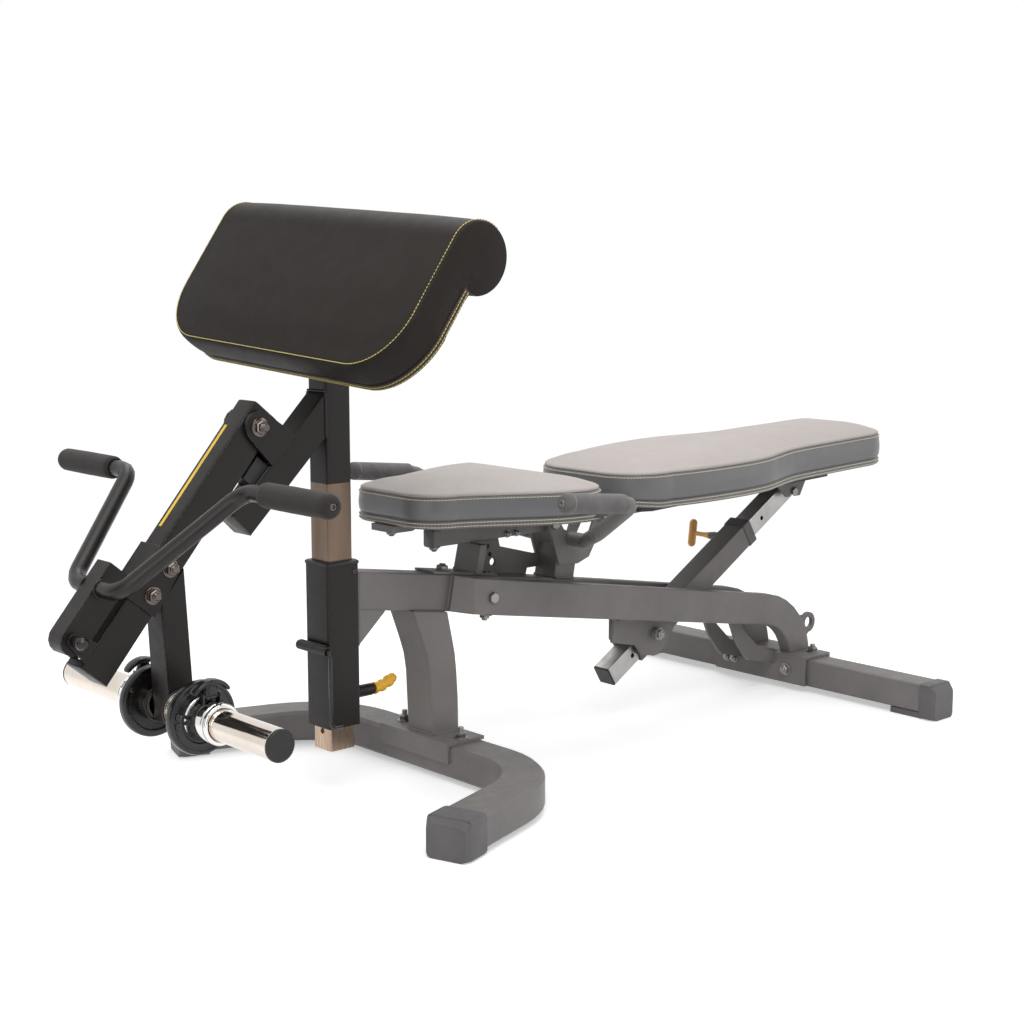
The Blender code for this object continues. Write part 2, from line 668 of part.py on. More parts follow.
def sleeve_liner():
    inner, outer = MAST_HALF + FIT, SLEEVE_HALF - SLEEVE_WALL - FIT
    low, high = SLEEVE_Z[0] + 0.004, SLEEVE_Z[1] + FIT
    lip = SLEEVE_HALF + 0.0015
    rings = []
    for half, z, radius in ((inner, low, 0.004), (outer, low, 0.0025), (outer, high, 0.0025), (lip, high, 0.006),
                            (lip, high + 0.004, 0.006), (lip - 0.003, high + LINER_LIP, 0.005),
                            (inner, high + LINER_LIP, 0.004)):
        rings.append(rounded((0, 0, z), (half, 0, 0), (0, half, 0), radius))
    made = node("sleeve_liner", loft(rings, loop=True), "frame", "plastic")
    cut(made, drill((outer, 0, PIN_Z), (1, 0, 0), HOLE_RADIUS, 0.02))


def mast_pin():
    """Plunger whose tip stops short of the mast, with a ridged grip that curves up."""
    shank = ((0, 0), (0, 0.0045), (0.062, 0.0045), (0.062, 0))
    made = node("mast_pin", turned((MAST_HALF + PIN_FIT, 0, PIN_Z), (1, 0, 0), shank, 12), "mast_pin_body", "yellow")
    start = SLEEVE_HALF + 0.0525
    rings = [[Vector((start, 0, PIN_Z))]]
    for i in range(13):
        f = i / 12
        x, z = start + 0.046 * f, PIN_Z + 0.015 * f * f
        radius = 0.0095 + (0.0012 if i % 4 < 2 else -0.0008) if i < 12 else 0.006
        rings.append(circle((x, 0, z), (1, 0, 0.6 * f), radius, 12))
    rings.append([Vector((start + 0.049, 0, PIN_Z + 0.016))])
    join(made, loft(rings))


def latch_rod():
    """L-shaped rod that turns in the peg tube, with its hook at the foot."""
    x, z = -SLEEVE_HALF - 0.008, 0.259
    points = ((x, 0.036, z), (x, -0.0475, z), (x, -0.0475, 0.130), (x + 0.022, -0.0475, 0.130))
    node("latch_rod", sweep(fillet(points, 0.009, 4), 0.004, 10), "latch_body", "black")


# Mast, brace and preacher pad


def pad_matrix():
    """Pad plan (s, y, t) to bench coordinates."""
    slope = radians(PAD_SLOPE)
    along, out = (cos(slope), 0, sin(slope)), (-sin(slope), 0, cos(slope))
    x, z = PAD_ORIGIN
    base = Matrix(((along[0], 0, out[0], x), (0, 1, 0, 0), (along[2], 0, out[2], z), (0, 0, 0, 1)))
    pivot = Matrix.Translation((0, 0, 0.81))
    return pivot @ Matrix.Rotation(radians(PAD_TILT), 4, "X") @ pivot.inverted() @ base


def pad_block(s0, s1, half, t0, t1):
    place = pad_matrix()
    outline = ((s0, -half), (s1, -half), (s1, half), (s0, half))
    return loft([[place @ Vector((s, y, t)) for s, y in outline] for t in (t0, t1)])


def mast():
    """Square tube whose top follows the plate below the pad."""
    place = pad_matrix()
    plane = place @ Vector((0.1, 0, -PAD_BASE - 0.0050))
    normal = place.to_3x3() @ Vector((0, 0, 1))
    outer, inner = [], []
    for rings, half in ((outer, MAST_HALF), (inner, MAST_HALF - MAST_WALL)):
        low = rounded((0, 0, MAST_FOOT), (half, 0, 0), (0, half, 0), 0.004 - (MAST_HALF - half) * 0.8)
        rings.append(low)
        rings.append([p + Vector((0, 0, (plane - p).dot(normal) / normal.z)) for p in low])
    made = node("mast", loft(outer + inner[::-1], loop=True), "mast_body", "plated")
    for i in range(-2, 3):
        cut(made, drill((MAST_HALF, 0, PIN_Z + i * HOLE_PITCH), (1, 0, 0), HOLE_RADIUS, 0.02))
    cut(made, drill((-MAST_HALF, 0, MAST_FOOT + 0.0325), (1, 0, 0), HOLE_RADIUS, 0.02))
    join(made, pad_block(0.020, 0.160, 0.060, -PAD_BASE - 0.0055, -PAD_BASE - FIT))


def brace_point(along, off):
    """Point a distance along the brace's upper face from the pivot's foot, and off it."""
    (x0, z0), (x1, z1) = BRACE_TOP
    d = Vector((x1 - x0, z1 - z0)).normalized()
    foot = Vector(BRACE_TOP[0]) + d * (Vector(ARM_PIVOT) - Vector(BRACE_TOP[0])).dot(d)
    point = foot + d * along + Vector((-d.y, d.x)) * off
    return point.x, point.y


def brace():
    """Diagonal tube with the clevis for the arm welded on its upper face."""
    made = node("brace", tube(list(zip(BRACE_TOP, BRACE_FOOT)), 0.025), "mast_body", "black")
    (x0, z0), (x1, z1) = BRACE_TOP
    turn = atan2(z1 - z0, x1 - x0) * 180 / pi
    outline = [brace_point(-0.029, -0.001)] + arc(ARM_PIVOT, 0.026, turn + 180, turn, 8) + [brace_point(0.036, -0.001)]
    inner = ARM_HALF + 0.0013
    join(made, prism(outline, -inner - EAR, inner + EAR))
    slot = [brace_point(-0.2, 0.0055), brace_point(-0.2, 0.2), brace_point(0.2, 0.2), brace_point(0.2, 0.0055)]
    cut(made, prism(slot, -inner, inner))
    cut(made, drill((ARM_PIVOT[0], 0, ARM_PIVOT[1]), (0, 1, 0), PIVOT_BOLT + FIT, 0.1))
    outside = inner + EAR + FIT
    node("arm_pivot_bolt", bolt(*ARM_PIVOT, -outside, outside, PIVOT_BOLT, 0.0115, 0.008), "mast_body", "steel")


def stop_block():
    """Rubber stop on the brace, 5 mm short of the arm."""
    low = [brace_point(s, 0.0004) for s in (-0.0305, -0.0735)]
    high = []
    for x, z in low:
        u, n = arm_frame((x, z))
        high.append(arm_point(u, -ARM_DEPTH / 2 - 0.005))
    outline = [low[0], low[1], high[1], high[0]]
    node("stop_block", prism(outline, -0.020, 0.020), "mast_body", "plastic")


def pad_section(front, side_in=0.0, crown=0.0):
    """Closed outline of the pad in (s, t), from the lower front corner up over the face."""
    cs, ct = ROLL_CENTRE
    points = [(front + 0.002, -PAD_BASE), (front, -0.064), (front - 0.001, -0.060), (front + 0.0012, -0.057),
              (front - 0.0025, -0.035), (front - 0.001, -0.012), (front, 0.0)]
    for f in (0.04, 0.12, 0.3, 0.55, 0.8):
        s = front + (cs - front) * f
        points.append((s, crown * min(1.0, 4.5 * f)))
    points += arc((cs, ct), ROLL_RADIUS + crown * 0.4, 90, -150, 12)
    points += [(0.1885, -PAD_BASE + 0.002), (0.180, -PAD_BASE)]
    if not side_in:
        return points
    return inset_outline(points, side_in)


def inset_outline(points, depth):
    """Outline moved inwards: points run clockwise."""
    moved = []
    for i, (x, y) in enumerate(points):
        ax, ay = points[i - 1]
        bx, by = points[(i + 1) % len(points)]
        along = Vector((bx - ax, by - ay)).normalized()
        moved.append((x + along.y * depth, y - along.x * depth))
    return moved


def pad_front(y):
    reach = abs(y) - (PAD_HALF - PAD_CORNER)
    return PAD_CORNER - sqrt(PAD_CORNER**2 - reach**2) if reach > 0 else 0.0


def arm_pad():
    place = pad_matrix()
    rings = []
    half = [0.0, 0.11] + [PAD_HALF - depth for depth in (0.116, 0.084, 0.056, 0.034, 0.017, 0.006)]
    stations = [-y for y in half[:0:-1]] + half
    for y in stations:
        crown = PAD_CROWN * (1 - (abs(y) / PAD_HALF) ** 4)
        rings.append([place @ Vector((s, y, t)) for s, t in pad_section(pad_front(y), 0.0, crown)])
    edge = PAD_HALF - 0.0015
    for y, inset in ((edge, 0.0008), (PAD_HALF + 0.0005, 0.005)):
        section = pad_section(pad_front(edge), inset)
        rings.append([place @ Vector((s, y, t)) for s, t in section])
        rings.insert(0, [place @ Vector((s, -y, t)) for s, t in section])
    made = node("arm_pad", loft(rings), "mast_body", "black_vinyl")
    cut(made, pad_board_shape(FIT, -PAD_BASE - 0.01))
    node("pad_board", pad_board_shape(0.0, -PAD_BASE), "mast_body", "board")


def pad_board_shape(grow, low):
    place = pad_matrix()
    half, front, rear = 0.290 + grow, 0.014 - grow, 0.174 + grow
    corner = 0.095
    outline = [(rear, -half), (rear, half)]
    outline += [(s, y) for y, s in arc((half - corner, front + corner), corner, 0, -90, 5)]
    outline += [(s, y) for y, s in arc((corner - half, front + corner), corner, -90, -180, 5)]
    top = -PAD_BASE + BOARD + grow
    return loft([[place @ Vector((s, y, t)) for s, y in outline] for t in (low, top)])


# Lever arm, weight leg and horns


def arm_point(u, n):
    """Bench (x, z) of a point u up the arm and n in front of its axis."""
    c, s = cos(radians(ARM_ANGLE)), sin(radians(ARM_ANGLE))
    return ARM_PIVOT[0] + u * c - n * s, ARM_PIVOT[1] + u * s + n * c


def arm_frame(point):
    c, s = cos(radians(ARM_ANGLE)), sin(radians(ARM_ANGLE))
    x, z = point[0] - ARM_PIVOT[0], point[1] - ARM_PIVOT[1]
    return x * c + z * s, -x * s + z * c


def lever_arm():
    """Cup-shaped tube: closed at the top, open at the foot."""
    half = ARM_DEPTH / 2
    low, high = ARM_LENGTH
    rings = [station(arm_point(high - 0.003, half), arm_point(high - 0.003, -half), ARM_HALF, ARM_WALL, 0.005)]
    rings.append(station(arm_point(low, half), arm_point(low, -half), ARM_HALF, ARM_WALL, 0.005))
    for u, inset in ((low, 0.0), (high - 0.002, 0.0), (high, 0.002)):
        rings.append(station(arm_point(u, half - inset), arm_point(u, inset - half), ARM_HALF - inset, 0.0, 0.005))
    made = node("lever_arm", loft(rings), "lever_body", "black")
    pu, pn = arm_frame(CARRIER_PIVOT)
    centre = arm_point(pu, pn)
    turn = ARM_ANGLE + 90
    outline = [arm_point(pu + 0.017, half - 0.001)] + arc(centre, 0.012, turn - 80, turn + 80, 6)
    outline += [arm_point(pu - 0.017, half - 0.001)]
    for side in (-1, 1):
        join(made, prism(outline, side * (CARRIER_HALF + FIT), side * ARM_HALF))
    cut(made, drill((centre[0], 0, centre[1]), (0, 1, 0), 0.0053, 0.1))
    cut(made, drill((ARM_PIVOT[0], 0, ARM_PIVOT[1]), (0, 1, 0), PIVOT_BOLT + FIT, 0.1))


def leg_saddle():
    """U of plate round the front of the arm, with the two bolts that hold the leg."""
    half, thick = ARM_DEPTH / 2, SADDLE_PLATE
    low, high = -0.342, -0.248
    outer = [arm_point(low, half + FIT + thick), arm_point(high, half + FIT + thick),
             arm_point(high, -half + 0.006), arm_point(low, -half - 0.002)]
    made = node("leg_saddle", prism(outer, -ARM_HALF - FIT - thick, ARM_HALF + FIT + thick), "lever_body", "black")
    slot = [arm_point(-0.4, half + FIT), arm_point(-0.2, half + FIT), arm_point(-0.2, -0.1), arm_point(-0.4, -0.1)]
    cut(made, prism(slot, -ARM_HALF - FIT, ARM_HALF + FIT))
    for u in (-0.266, -0.316):
        x, z = arm_point(u, -0.006)
        for side in (-1, 1):
            join(made, head((x, side * (ARM_HALF + FIT + thick), z), (0, side, 0), 0.0105, 0.009))


def weight_leg():
    front_top, rear_top, front_foot, rear_foot = LEG_X
    gap = -ARM_DEPTH / 2 - 0.0004

    def rear_face(x):
        u = (x - arm_point(0, gap)[0]) / cos(radians(ARM_ANGLE))
        return x, arm_point(u, gap)[1]

    stations = [(rear_face(rear_top), rear_face(front_top)), ((rear_foot, LEG_FOOT), (front_foot, LEG_FOOT))]
    node("weight_leg", tube(stations, 0.025), "lever_body", "black")


def horns():
    x, z = HORN
    r = HORN_RADIUS
    start, tip = 0.0253, HORN_TIP - 0.006
    for name, side in (("near", -1), ("far", 1)):
        profile = ((start, r - 0.003), (start, r + 0.003), (start + 0.004, r + 0.003), (start + 0.004, r), (tip, r),
                   (tip, r - 0.003))
        node("horn_" + name, turned((x, 0, z), (0, side, 0), profile, 28, loop=True), "lever_body", "chrome")
        plug = r - 0.003 - FIT
        cap = ((tip - 0.020, 0), (tip - 0.020, plug), (tip + FIT, plug), (tip + FIT, r), (tip + 0.004, r),
               (tip + 0.006, r - 0.002), (tip + 0.006, 0))
        node("horn_cap_" + name, turned((x, 0, z), (0, side, 0), cap, 28), "lever_body", "plastic")


def collars():
    x, z = HORN
    bore = HORN_RADIUS + COLLAR_FIT
    for name, side in (("near", -1), ("far", 1)):
        axis, body = (0, side, 0), "collar_" + name + "_body"
        y0 = COLLAR_Y[name]
        tip = y0 + BOSS_LENGTH
        thumb = y0 + THUMB_Y
        disc = ((y0 + 0.003, bore), (y0 + 0.003, bore + 0.020), (y0, bore + 0.022), (y0, COLLAR_RADIUS - 0.004),
                (y0 + 0.003, COLLAR_RADIUS), (y0 + 0.015, COLLAR_RADIUS), (y0 + 0.019, COLLAR_RADIUS - 0.004),
                (y0 + 0.019, bore + 0.0145), (y0 + 0.016, bore + 0.0125), (y0 + 0.016, bore))
        made = node("collar_disc_" + name, turned((x, 0, z), axis, disc, 28, loop=True), body, "plastic")
        for angle in (100, 280):
            px, pz = x + 0.047 * cos(radians(angle + 60)), z + 0.047 * sin(radians(angle + 60))
            join(made, head((px, side * (y0 + 0.019), pz), axis, 0.006, 0.005))
        y1 = y0 + 0.016 + FIT
        boss = ((y1, bore), (y1, BOSS_RADIUS + 0.004), (y1 + 0.006, BOSS_RADIUS + 0.004), (y1 + 0.008, BOSS_RADIUS),
                (tip - 0.014, BOSS_RADIUS), (tip - 0.013, BOSS_RADIUS - 0.0025), (tip - 0.008, BOSS_RADIUS - 0.0025),
                (tip - 0.007, BOSS_RADIUS - 0.001), (tip, BOSS_RADIUS - 0.002), (tip, bore))
        made = node("collar_boss_" + name, turned((x, 0, z), axis, boss, 24, loop=True), body, "chrome")
        for px in (-0.0105, 0.0065):
            join(made, block(x + px, x + px + 0.004, side * (thumb - 0.006), side * (thumb + 0.006), z + HORN_RADIUS + 0.003,
                             z + THUMB_Z + 0.006))
        cut(made, drill((x, side * thumb, z + THUMB_Z), (1, 0, 0), 0.0028, 0.04, 8))
        thumb_lever(name, side)


def thumb_lever(name, side):
    """Curved T bar on a stem, between the two lugs of the boss."""
    x, z = HORN[0], HORN[1] + THUMB_Z
    y = COLLAR_Y[name] + THUMB_Y
    body = "thumb_" + name + "_body"
    stem = ((x - 0.0060, z - 0.003), (x + 0.0060, z - 0.003), (x + 0.0060, z + 0.022), (x - 0.0060, z + 0.022))
    made = node("thumb_lever_" + name, prism(stem, side * (y - 0.005), side * (y + 0.005)), body, "plastic")
    crown = arc((x, z - 0.014), 0.040, 148, 32, 8) + arc((x, z - 0.014), 0.032, 38, 142, 8)
    join(made, prism(crown, side * (y - 0.011), side * (y + 0.009)))
    join(made, drill((x, side * y, z), (1, 0, 0), 0.0024, 0.023, 8))


# Handle carrier


def carrier():
    """Square tube with a round foot on the pivot and a rest pad against the arm."""
    n0, n1 = CARRIER_N
    pu, pn = arm_frame(CARRIER_PIVOT)
    outline = [arm_point(CARRIER_TOP, n0), arm_point(pu, n0)]
    centre = arm_point(pu, (n0 + n1) / 2)
    outline += arc(centre, (n1 - n0) / 2, ARM_ANGLE - 90 - 15, ARM_ANGLE - 270 + 15, 6)
    outline += [arm_point(pu, n1), arm_point(CARRIER_TOP, n1)]
    made = node("handle_carrier", prism(outline, -CARRIER_HALF, CARRIER_HALF), "carrier_body", "black")
    inside = [arm_point(CARRIER_TOP + 0.05, n0 + 0.003), arm_point(CARRIER_TOP - 0.095, n0 + 0.003),
              arm_point(CARRIER_TOP - 0.095, n1 - 0.003), arm_point(CARRIER_TOP + 0.05, n1 - 0.003)]
    cut(made, prism(inside, -CARRIER_HALF + 0.003, CARRIER_HALF - 0.003))
    low = ARM_DEPTH / 2 + SADDLE_PLATE + FIT + PIN_FIT
    rest = [arm_point(-0.338, low), arm_point(-0.318, low), arm_point(-0.318, n0 + 0.001), arm_point(-0.338, n0 + 0.001)]
    join(made, prism(rest, -0.012, 0.012))
    centre = (CARRIER_PIVOT[0], 0, CARRIER_PIVOT[1])
    cut(made, drill(centre, (0, 1, 0), 0.0053, 0.1))
    pin = ((-0.056, 0), (-0.0545, 0.0055), (-0.050, 0.0095), (-0.045, 0.0108), (-0.040, 0.0100), (-0.0355, 0.0075),
           (-0.0355, 0.0085), (-0.0253, 0.0085), (-0.0253, 0.005), (0.0253, 0.005), (0.0253, 0.010), (0.036, 0.010),
           (0.040, 0.007), (0.040, 0))
    node("carrier_pin", turned((centre[0], 0, centre[2]), (0, 1, 0), pin, 14), "lever_body", "steel")


def handle_bars():
    for name, side in (("near", -1), ("far", 1)):
        points = ((-0.4400, CARRIER_HALF + FIT, 0.4150), (-0.4400, 0.0700, 0.4150),
                  (-0.2785, 0.1670, 0.5630), (-0.2785, GRIP_Y[1] - 0.006, 0.5630))
        points = [(x, side * y, z) for x, y, z in points]
        node("handle_bar_" + name, sweep(fillet(points, 0.040, 4), HANDLE_RADIUS, 12), "carrier_body", "black")
        inner = HANDLE_RADIUS + FIT
        y0, y1 = GRIP_Y
        profile = ((y1 - 0.0055, 0), (y1 - 0.0055, inner), (y0 + 0.004, inner), (y0 + 0.004, 0.0165), (y0 + 0.008, 0.0165),
                   (y0 + 0.010, GRIP_RADIUS), (y1 - 0.005, GRIP_RADIUS), (y1 - 0.001, GRIP_RADIUS - 0.003),
                   (y1 - 0.001, 0.007), (y1 - 0.003, 0.006), (y1 - 0.003, 0))
        node("handle_grip_" + name, turned((-0.2785, 0, 0.5630), (0, side, 0), profile, 20), "carrier_body", "foam")


# Seat and back


def plan(front, rear, widths, front_corner, rear_corner):
    """Closed outline of a pad, seen from above: half widths at stations along X."""
    w0, w1 = widths[0][1], widths[-1][1]
    side = [(front, 0.0), (front, (w0 - front_corner) * 0.5)]
    side += arc((front + front_corner, w0 - front_corner), front_corner, 180, 90, 4)
    side += list(widths[1:-1])
    side += arc((rear - rear_corner, w1 - rear_corner), rear_corner, 90, 0, 4)
    side += [(rear, (w1 - rear_corner) * 0.5), (rear, 0.0)]
    return side + [(x, -y) for x, y in side[-2:0:-1]]


def seat_plan():
    widths = ((0.185, 0.108), (0.220, 0.112), (0.270, 0.124), (0.320, 0.150), (0.365, 0.180), (0.405, 0.198), (0.445, 0.205))
    return plan(SEAT_FRONT, SEAT_REAR, widths, 0.070, 0.060)


def back_plan():
    widths = ((0.657, 0.149), (0.720, 0.158), (0.790, 0.171), (0.866, 0.181), (0.930, 0.176), (0.980, 0.157),
              (1.030, 0.137), (1.080, 0.132), (1.220, 0.132), (1.351, 0.132))
    return plan(BACK_FRONT, BACK_REAR, widths, 0.088, 0.049)


def cushion(outline, base, seam, crown, spine, height):
    """Base, welt, drawn-in side and crown: height(x, t) gives z."""
    levels = ((-0.0015, base), (0.0, base + 0.006), (0.0008, base + 0.0085), (-0.0012, base + 0.0095),
              (0.0015, base + 0.022), (0.0008, seam - 0.008), (0.0, seam - 0.0008), (-0.0018, seam))
    rings = []
    for grow, t in levels:
        rings.append([Vector((x, y, height(x, t))) for x, y in inset_outline(outline, -grow)])
    for f, lift in ((0.955, 0.30), (0.86, 0.60), (0.66, 0.86), (0.36, 1.0)):
        ring = []
        for x, y in outline:
            cx = min(max(x, spine[0]), spine[1])
            px, py = cx + (x - cx) * f, y * f
            ring.append(Vector((px, py, height(px, seam + crown * lift))))
        rings.append(ring)
    return loft(rings)


def seat():
    def height(_, t):
        return SEAT_SEAM + t

    base = SEAT_BOTTOM - SEAT_SEAM
    shape = cushion(seat_plan(), base, 0.0, SEAT_CROWN, (0.22, 0.42), height)
    made = node("seat_pad", shape, "seat_body", "grey_vinyl")
    hole = inset_outline(seat_plan(), 0.010 - FIT)
    top = SEAT_BOTTOM + 0.009
    cut(made, loft([[Vector((x, y, z)) for x, y in hole] for z in (SEAT_BOTTOM - 0.01, top + FIT)]))
    board = inset_outline(seat_plan(), 0.010)
    node("seat_board", loft([[Vector((x, y, z)) for x, y in board] for z in (SEAT_BOTTOM, top)]), "seat_body", "board")


def seat_frame():
    px, pz = SEAT_PIVOT
    low, high = SEAT_TUBE_Z
    stations = [((SEAT_TUBE_FRONT, high), (SEAT_TUBE_FRONT, low)), ((px - 0.002, high), (px - 0.002, low))]
    made = node("seat_tube", tube(stations, SEAT_TUBE_HALF, 0.003), "seat_body", "grey")
    end = [(px - 0.010, high - 0.0005), (px - 0.010, low + 0.0005)] + arc((px, pz), (high - low) / 2 - 0.0005, -90, 90, 6)
    join(made, prism(end, -0.0248, 0.0248))
    tab = ((0.352, 0.424), (0.384, 0.424), (0.379, 0.360), (0.372, 0.3575), (0.362, 0.358))
    join(made, prism(tab, 0.0248, 0.0288))
    join(made, block(0.352, 0.384, SEAT_TUBE_HALF - 0.0005, 0.0253, 0.4065, 0.424))
    for hx in (0.385, 0.407):
        join(made, head((hx, -SEAT_TUBE_HALF, 0.4075), (0, -1, 0), 0.0050, 0.006))
    join(made, head((0.223, 0, low), (0, 0, -1), 0.0085, 0.005))
    x, z = seat_hole(SEAT_HOLES[0])
    cut(made, drill((x, 0.027, z), (0, 1, 0), 0.0045, 0.02))
    cut(made, drill((px, 0, pz), (0, 1, 0), 0.0055, 0.1))
    top, low = SEAT_BOTTOM - FIT, high - 0.001
    outline = ((0.108, top), (0.108, 0.4402), (0.150, 0.4402), (0.170, 0.4467), (0.215, 0.4467), (0.215, low),
               (0.440, low), (0.440, top))
    join(made, prism(outline, -0.030, 0.030))
    join(made, head((0.128, 0, 0.4402), (0, 0, -1), 0.009, 0.006))
    pin = ((-0.0040, 0), (-0.0040, 0.0040), (0.0120, 0.0040), (0.0120, 0.0085), (0.0145, 0.0100), (0.0230, 0.0100),
           (0.0255, 0.0080), (0.0255, 0))
    node("seat_pin", turned((x, 0.029, z), (0, 1, 0), pin, 14), "seat_pin_body", "plastic")


def back_z(x, t):
    return BACK_SEAM + BACK_RISE * (x - 0.9) + t


def back():
    shape = cushion(back_plan(), -BACK_DEPTH, 0.0, BACK_CROWN, (0.70, 1.28), back_z)
    node("back_pad", shape, "back_body", "grey_vinyl")
    outline = [(0.645, -0.100), (0.665, -0.112), (1.215, -0.100), (1.232, -0.085),
               (1.232, 0.085), (1.215, 0.100), (0.665, 0.112), (0.645, 0.100)]
    rings = []
    for t in (-BACK_DEPTH - FIT, -BACK_DEPTH - BACK_BOARD):
        rings.append([Vector((x, y, back_z(x, t))) for x, y in outline])
    node("back_board", loft(rings), "back_body", "board")


def back_frame():
    """Channel below the board: hinge lugs in front, an open slot for the strut's bolt behind."""
    half = 0.0368
    top = -BACK_DEPTH - BACK_BOARD - FIT
    low = top - 0.016
    sx, sz = STRUT_TOP
    outline = arc(BACK_PIVOT, 0.016, 100, 300, 7) + [(0.650, back_z(0.650, low))]
    outline += [(1.130, back_z(1.130, low)), (1.160, sz - 0.010), (sx + 0.022, sz - 0.010)]
    outline += [(1.222, back_z(1.222, low)), (1.222, back_z(1.222, top)), (0.638, back_z(0.638, top))]
    made = node("back_frame", prism(outline, -half, half), "back_body", "grey")
    inner = half - 0.005
    room = [(0.5, 0.3), (1.3, 0.3), (1.3, back_z(1.3, top - 0.004)), (0.652, back_z(0.652, top - 0.004)),
            (0.652, 0.46), (0.5, 0.46)]
    cut(made, prism(room, -inner, inner))
    slot = [(sx - 0.0062, sz + 0.002), (sx - 0.004, sz + 0.0055), (sx + 0.004, sz + 0.0055), (sx + 0.0062, sz + 0.002),
            (sx + 0.0062, sz - 0.004), (sx + 0.0080, sz - 0.020), (sx - 0.0170, sz - 0.020), (sx - 0.0065, sz - 0.001)]
    cut(made, prism(slot, -0.1, 0.1))
    cut(made, drill((BACK_PIVOT[0], 0, BACK_PIVOT[1]), (0, 1, 0), 0.0055, 0.1))


# Strut


def strut_angle():
    dx, dz = STRUT_TOP[0] - STRUT_PIVOT[0], STRUT_TOP[1] - STRUT_PIVOT[1]
    return atan2(dz, dx) - asin(STRUT_OFFSET / sqrt(dx * dx + dz * dz))


def strut_point(along, off):
    """Bench (x, z) of a point along the strut from its pivot and off its axis."""
    c, s = cos(strut_angle()), sin(strut_angle())
    return STRUT_PIVOT[0] + along * c - off * s, STRUT_PIVOT[1] + along * s + off * c


def strut_tube(start, end, half, wall, radius):
    edges = []
    for along in (start, end):
        edges.append((strut_point(along, STRUT_OFFSET + half), strut_point(along, STRUT_OFFSET - half)))
    return tube(edges, half, wall, radius)


def strut():
    start, end = STRUT_SLEEVE
    shape = strut_tube(start, end, STRUT_SLEEVE_HALF, 0.003, 0.004)
    made = node("strut_sleeve", shape, "strut_sleeve_body", "grey")
    x, z = STRUT_PIVOT
    root = STRUT_SLEEVE_HALF - 0.0005
    for side in (-1, 1):
        stud = ((root, 0), (root, 0.0080), (0.0348, 0.0080), (0.0348, 0.0120), (0.0420, 0.0120),
                (0.0440, 0.0095), (0.0440, 0))
        join(made, turned((x, 0, z), (0, side, 0), stud, 14))
    px, pz = strut_point(STRUT_PIN, STRUT_OFFSET)
    cut(made, drill((px, root - 0.0005, pz), (0, 1, 0), 0.0048, 0.012))
    housing = ((root, 0.0048), (0.062, 0.0048), (0.062, 0.0075), (0.052, 0.0095), (root, 0.0095))
    join(made, turned((px, 0, pz), (0, 1, 0), housing, 14, loop=True))
    strut_collar(end)
    strut_inner()
    tip = STRUT_HALF + PIN_FIT
    pin = ((tip, 0), (tip, 0.0040), (0.0630, 0.0040), (0.0630, 0.0078), (0.0800, 0.0052), (0.1090, 0.0045),
           (0.1090, 0))
    made = node("strut_pin", turned((px, 0, pz), (0, 1, 0), pin, 12), "strut_pin_body", "orange")
    bar = ((-0.0300, 0), (-0.0285, 0.005), (-0.0235, 0.0084), (0.0235, 0.0084), (0.0285, 0.005), (0.0300, 0))
    join(made, turned((px, 0.1130, pz), (0.12, 0, 1), bar, 12))


def strut_collar(end):
    """Plastic guide at the mouth of the sleeve."""
    inner, outer = STRUT_HALF + FIT, STRUT_SLEEVE_HALF - 0.003 - FIT
    lip = STRUT_SLEEVE_HALF + 0.0015
    rings = []
    for along, half, radius in ((end - 0.009, inner, 0.003), (end - 0.009, outer, 0.001), (end + FIT, outer, 0.001),
                                (end + FIT, lip, 0.004), (end + 0.022, lip, 0.004), (end + 0.022, inner, 0.003)):
        top, low = strut_point(along, STRUT_OFFSET + half), strut_point(along, STRUT_OFFSET - half)
        rings.append(station(top, low, half, 0.0, radius))
    node("strut_collar", loft(rings, loop=True), "strut_sleeve_body", "plastic")


def strut_inner():
    """Chrome tube with side holes, its bolt through the top end."""
    dx, dz = STRUT_TOP[0] - STRUT_PIVOT[0], STRUT_TOP[1] - STRUT_PIVOT[1]
    reach = sqrt(dx * dx + dz * dz - STRUT_OFFSET**2)
    shape = strut_tube(STRUT_TAIL, reach + 0.012, STRUT_HALF, 0.003, 0.003)
    made = node("strut_inner", shape, "strut_inner_body", "chrome")
    for along in (-0.062, 0.100, 0.160, 0.240, 0.391):
        px, pz = strut_point(along, STRUT_OFFSET)
        cut(made, drill((px, 0, pz), (0, 1, 0), 0.0048, 0.06))
    px, pz = STRUT_TOP
    cut(made, drill((px, 0, pz), (0, 1, 0), 0.0053, 0.06))
    node("strut_top_bolt", bolt(px, pz, -0.0371, 0.0371, 0.005, 0.0095, 0.006), "strut_inner_body", "steel")


def build():
    clear()
    make_bodies()
    front_base_bar()
    front_caps()
    rear_base_bar()
    upright()
    front_beam()
    rails()
    rear_saddle()
    strut_bracket()
    seat_bracket()
    rear_post()
    mast_sleeve()
    sleeve_liner()
    mast_pin()
    latch_rod()
    mast()
    brace()
    stop_block()
    arm_pad()
    lever_arm()
    leg_saddle()
    weight_leg()
    horns()
    collars()
    carrier()
    handle_bars()
    seat()
    seat_frame()
    back()
    back_frame()
    strut()


build()
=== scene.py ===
"""Looks for the preacher bench: upholstery, coatings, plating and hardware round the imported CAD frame."""

import json
from math import atan2, cos, hypot, pi, radians, sin, sqrt

import bmesh
import bpy
import numpy as np
from mathutils import Matrix, Vector, geometry, noise

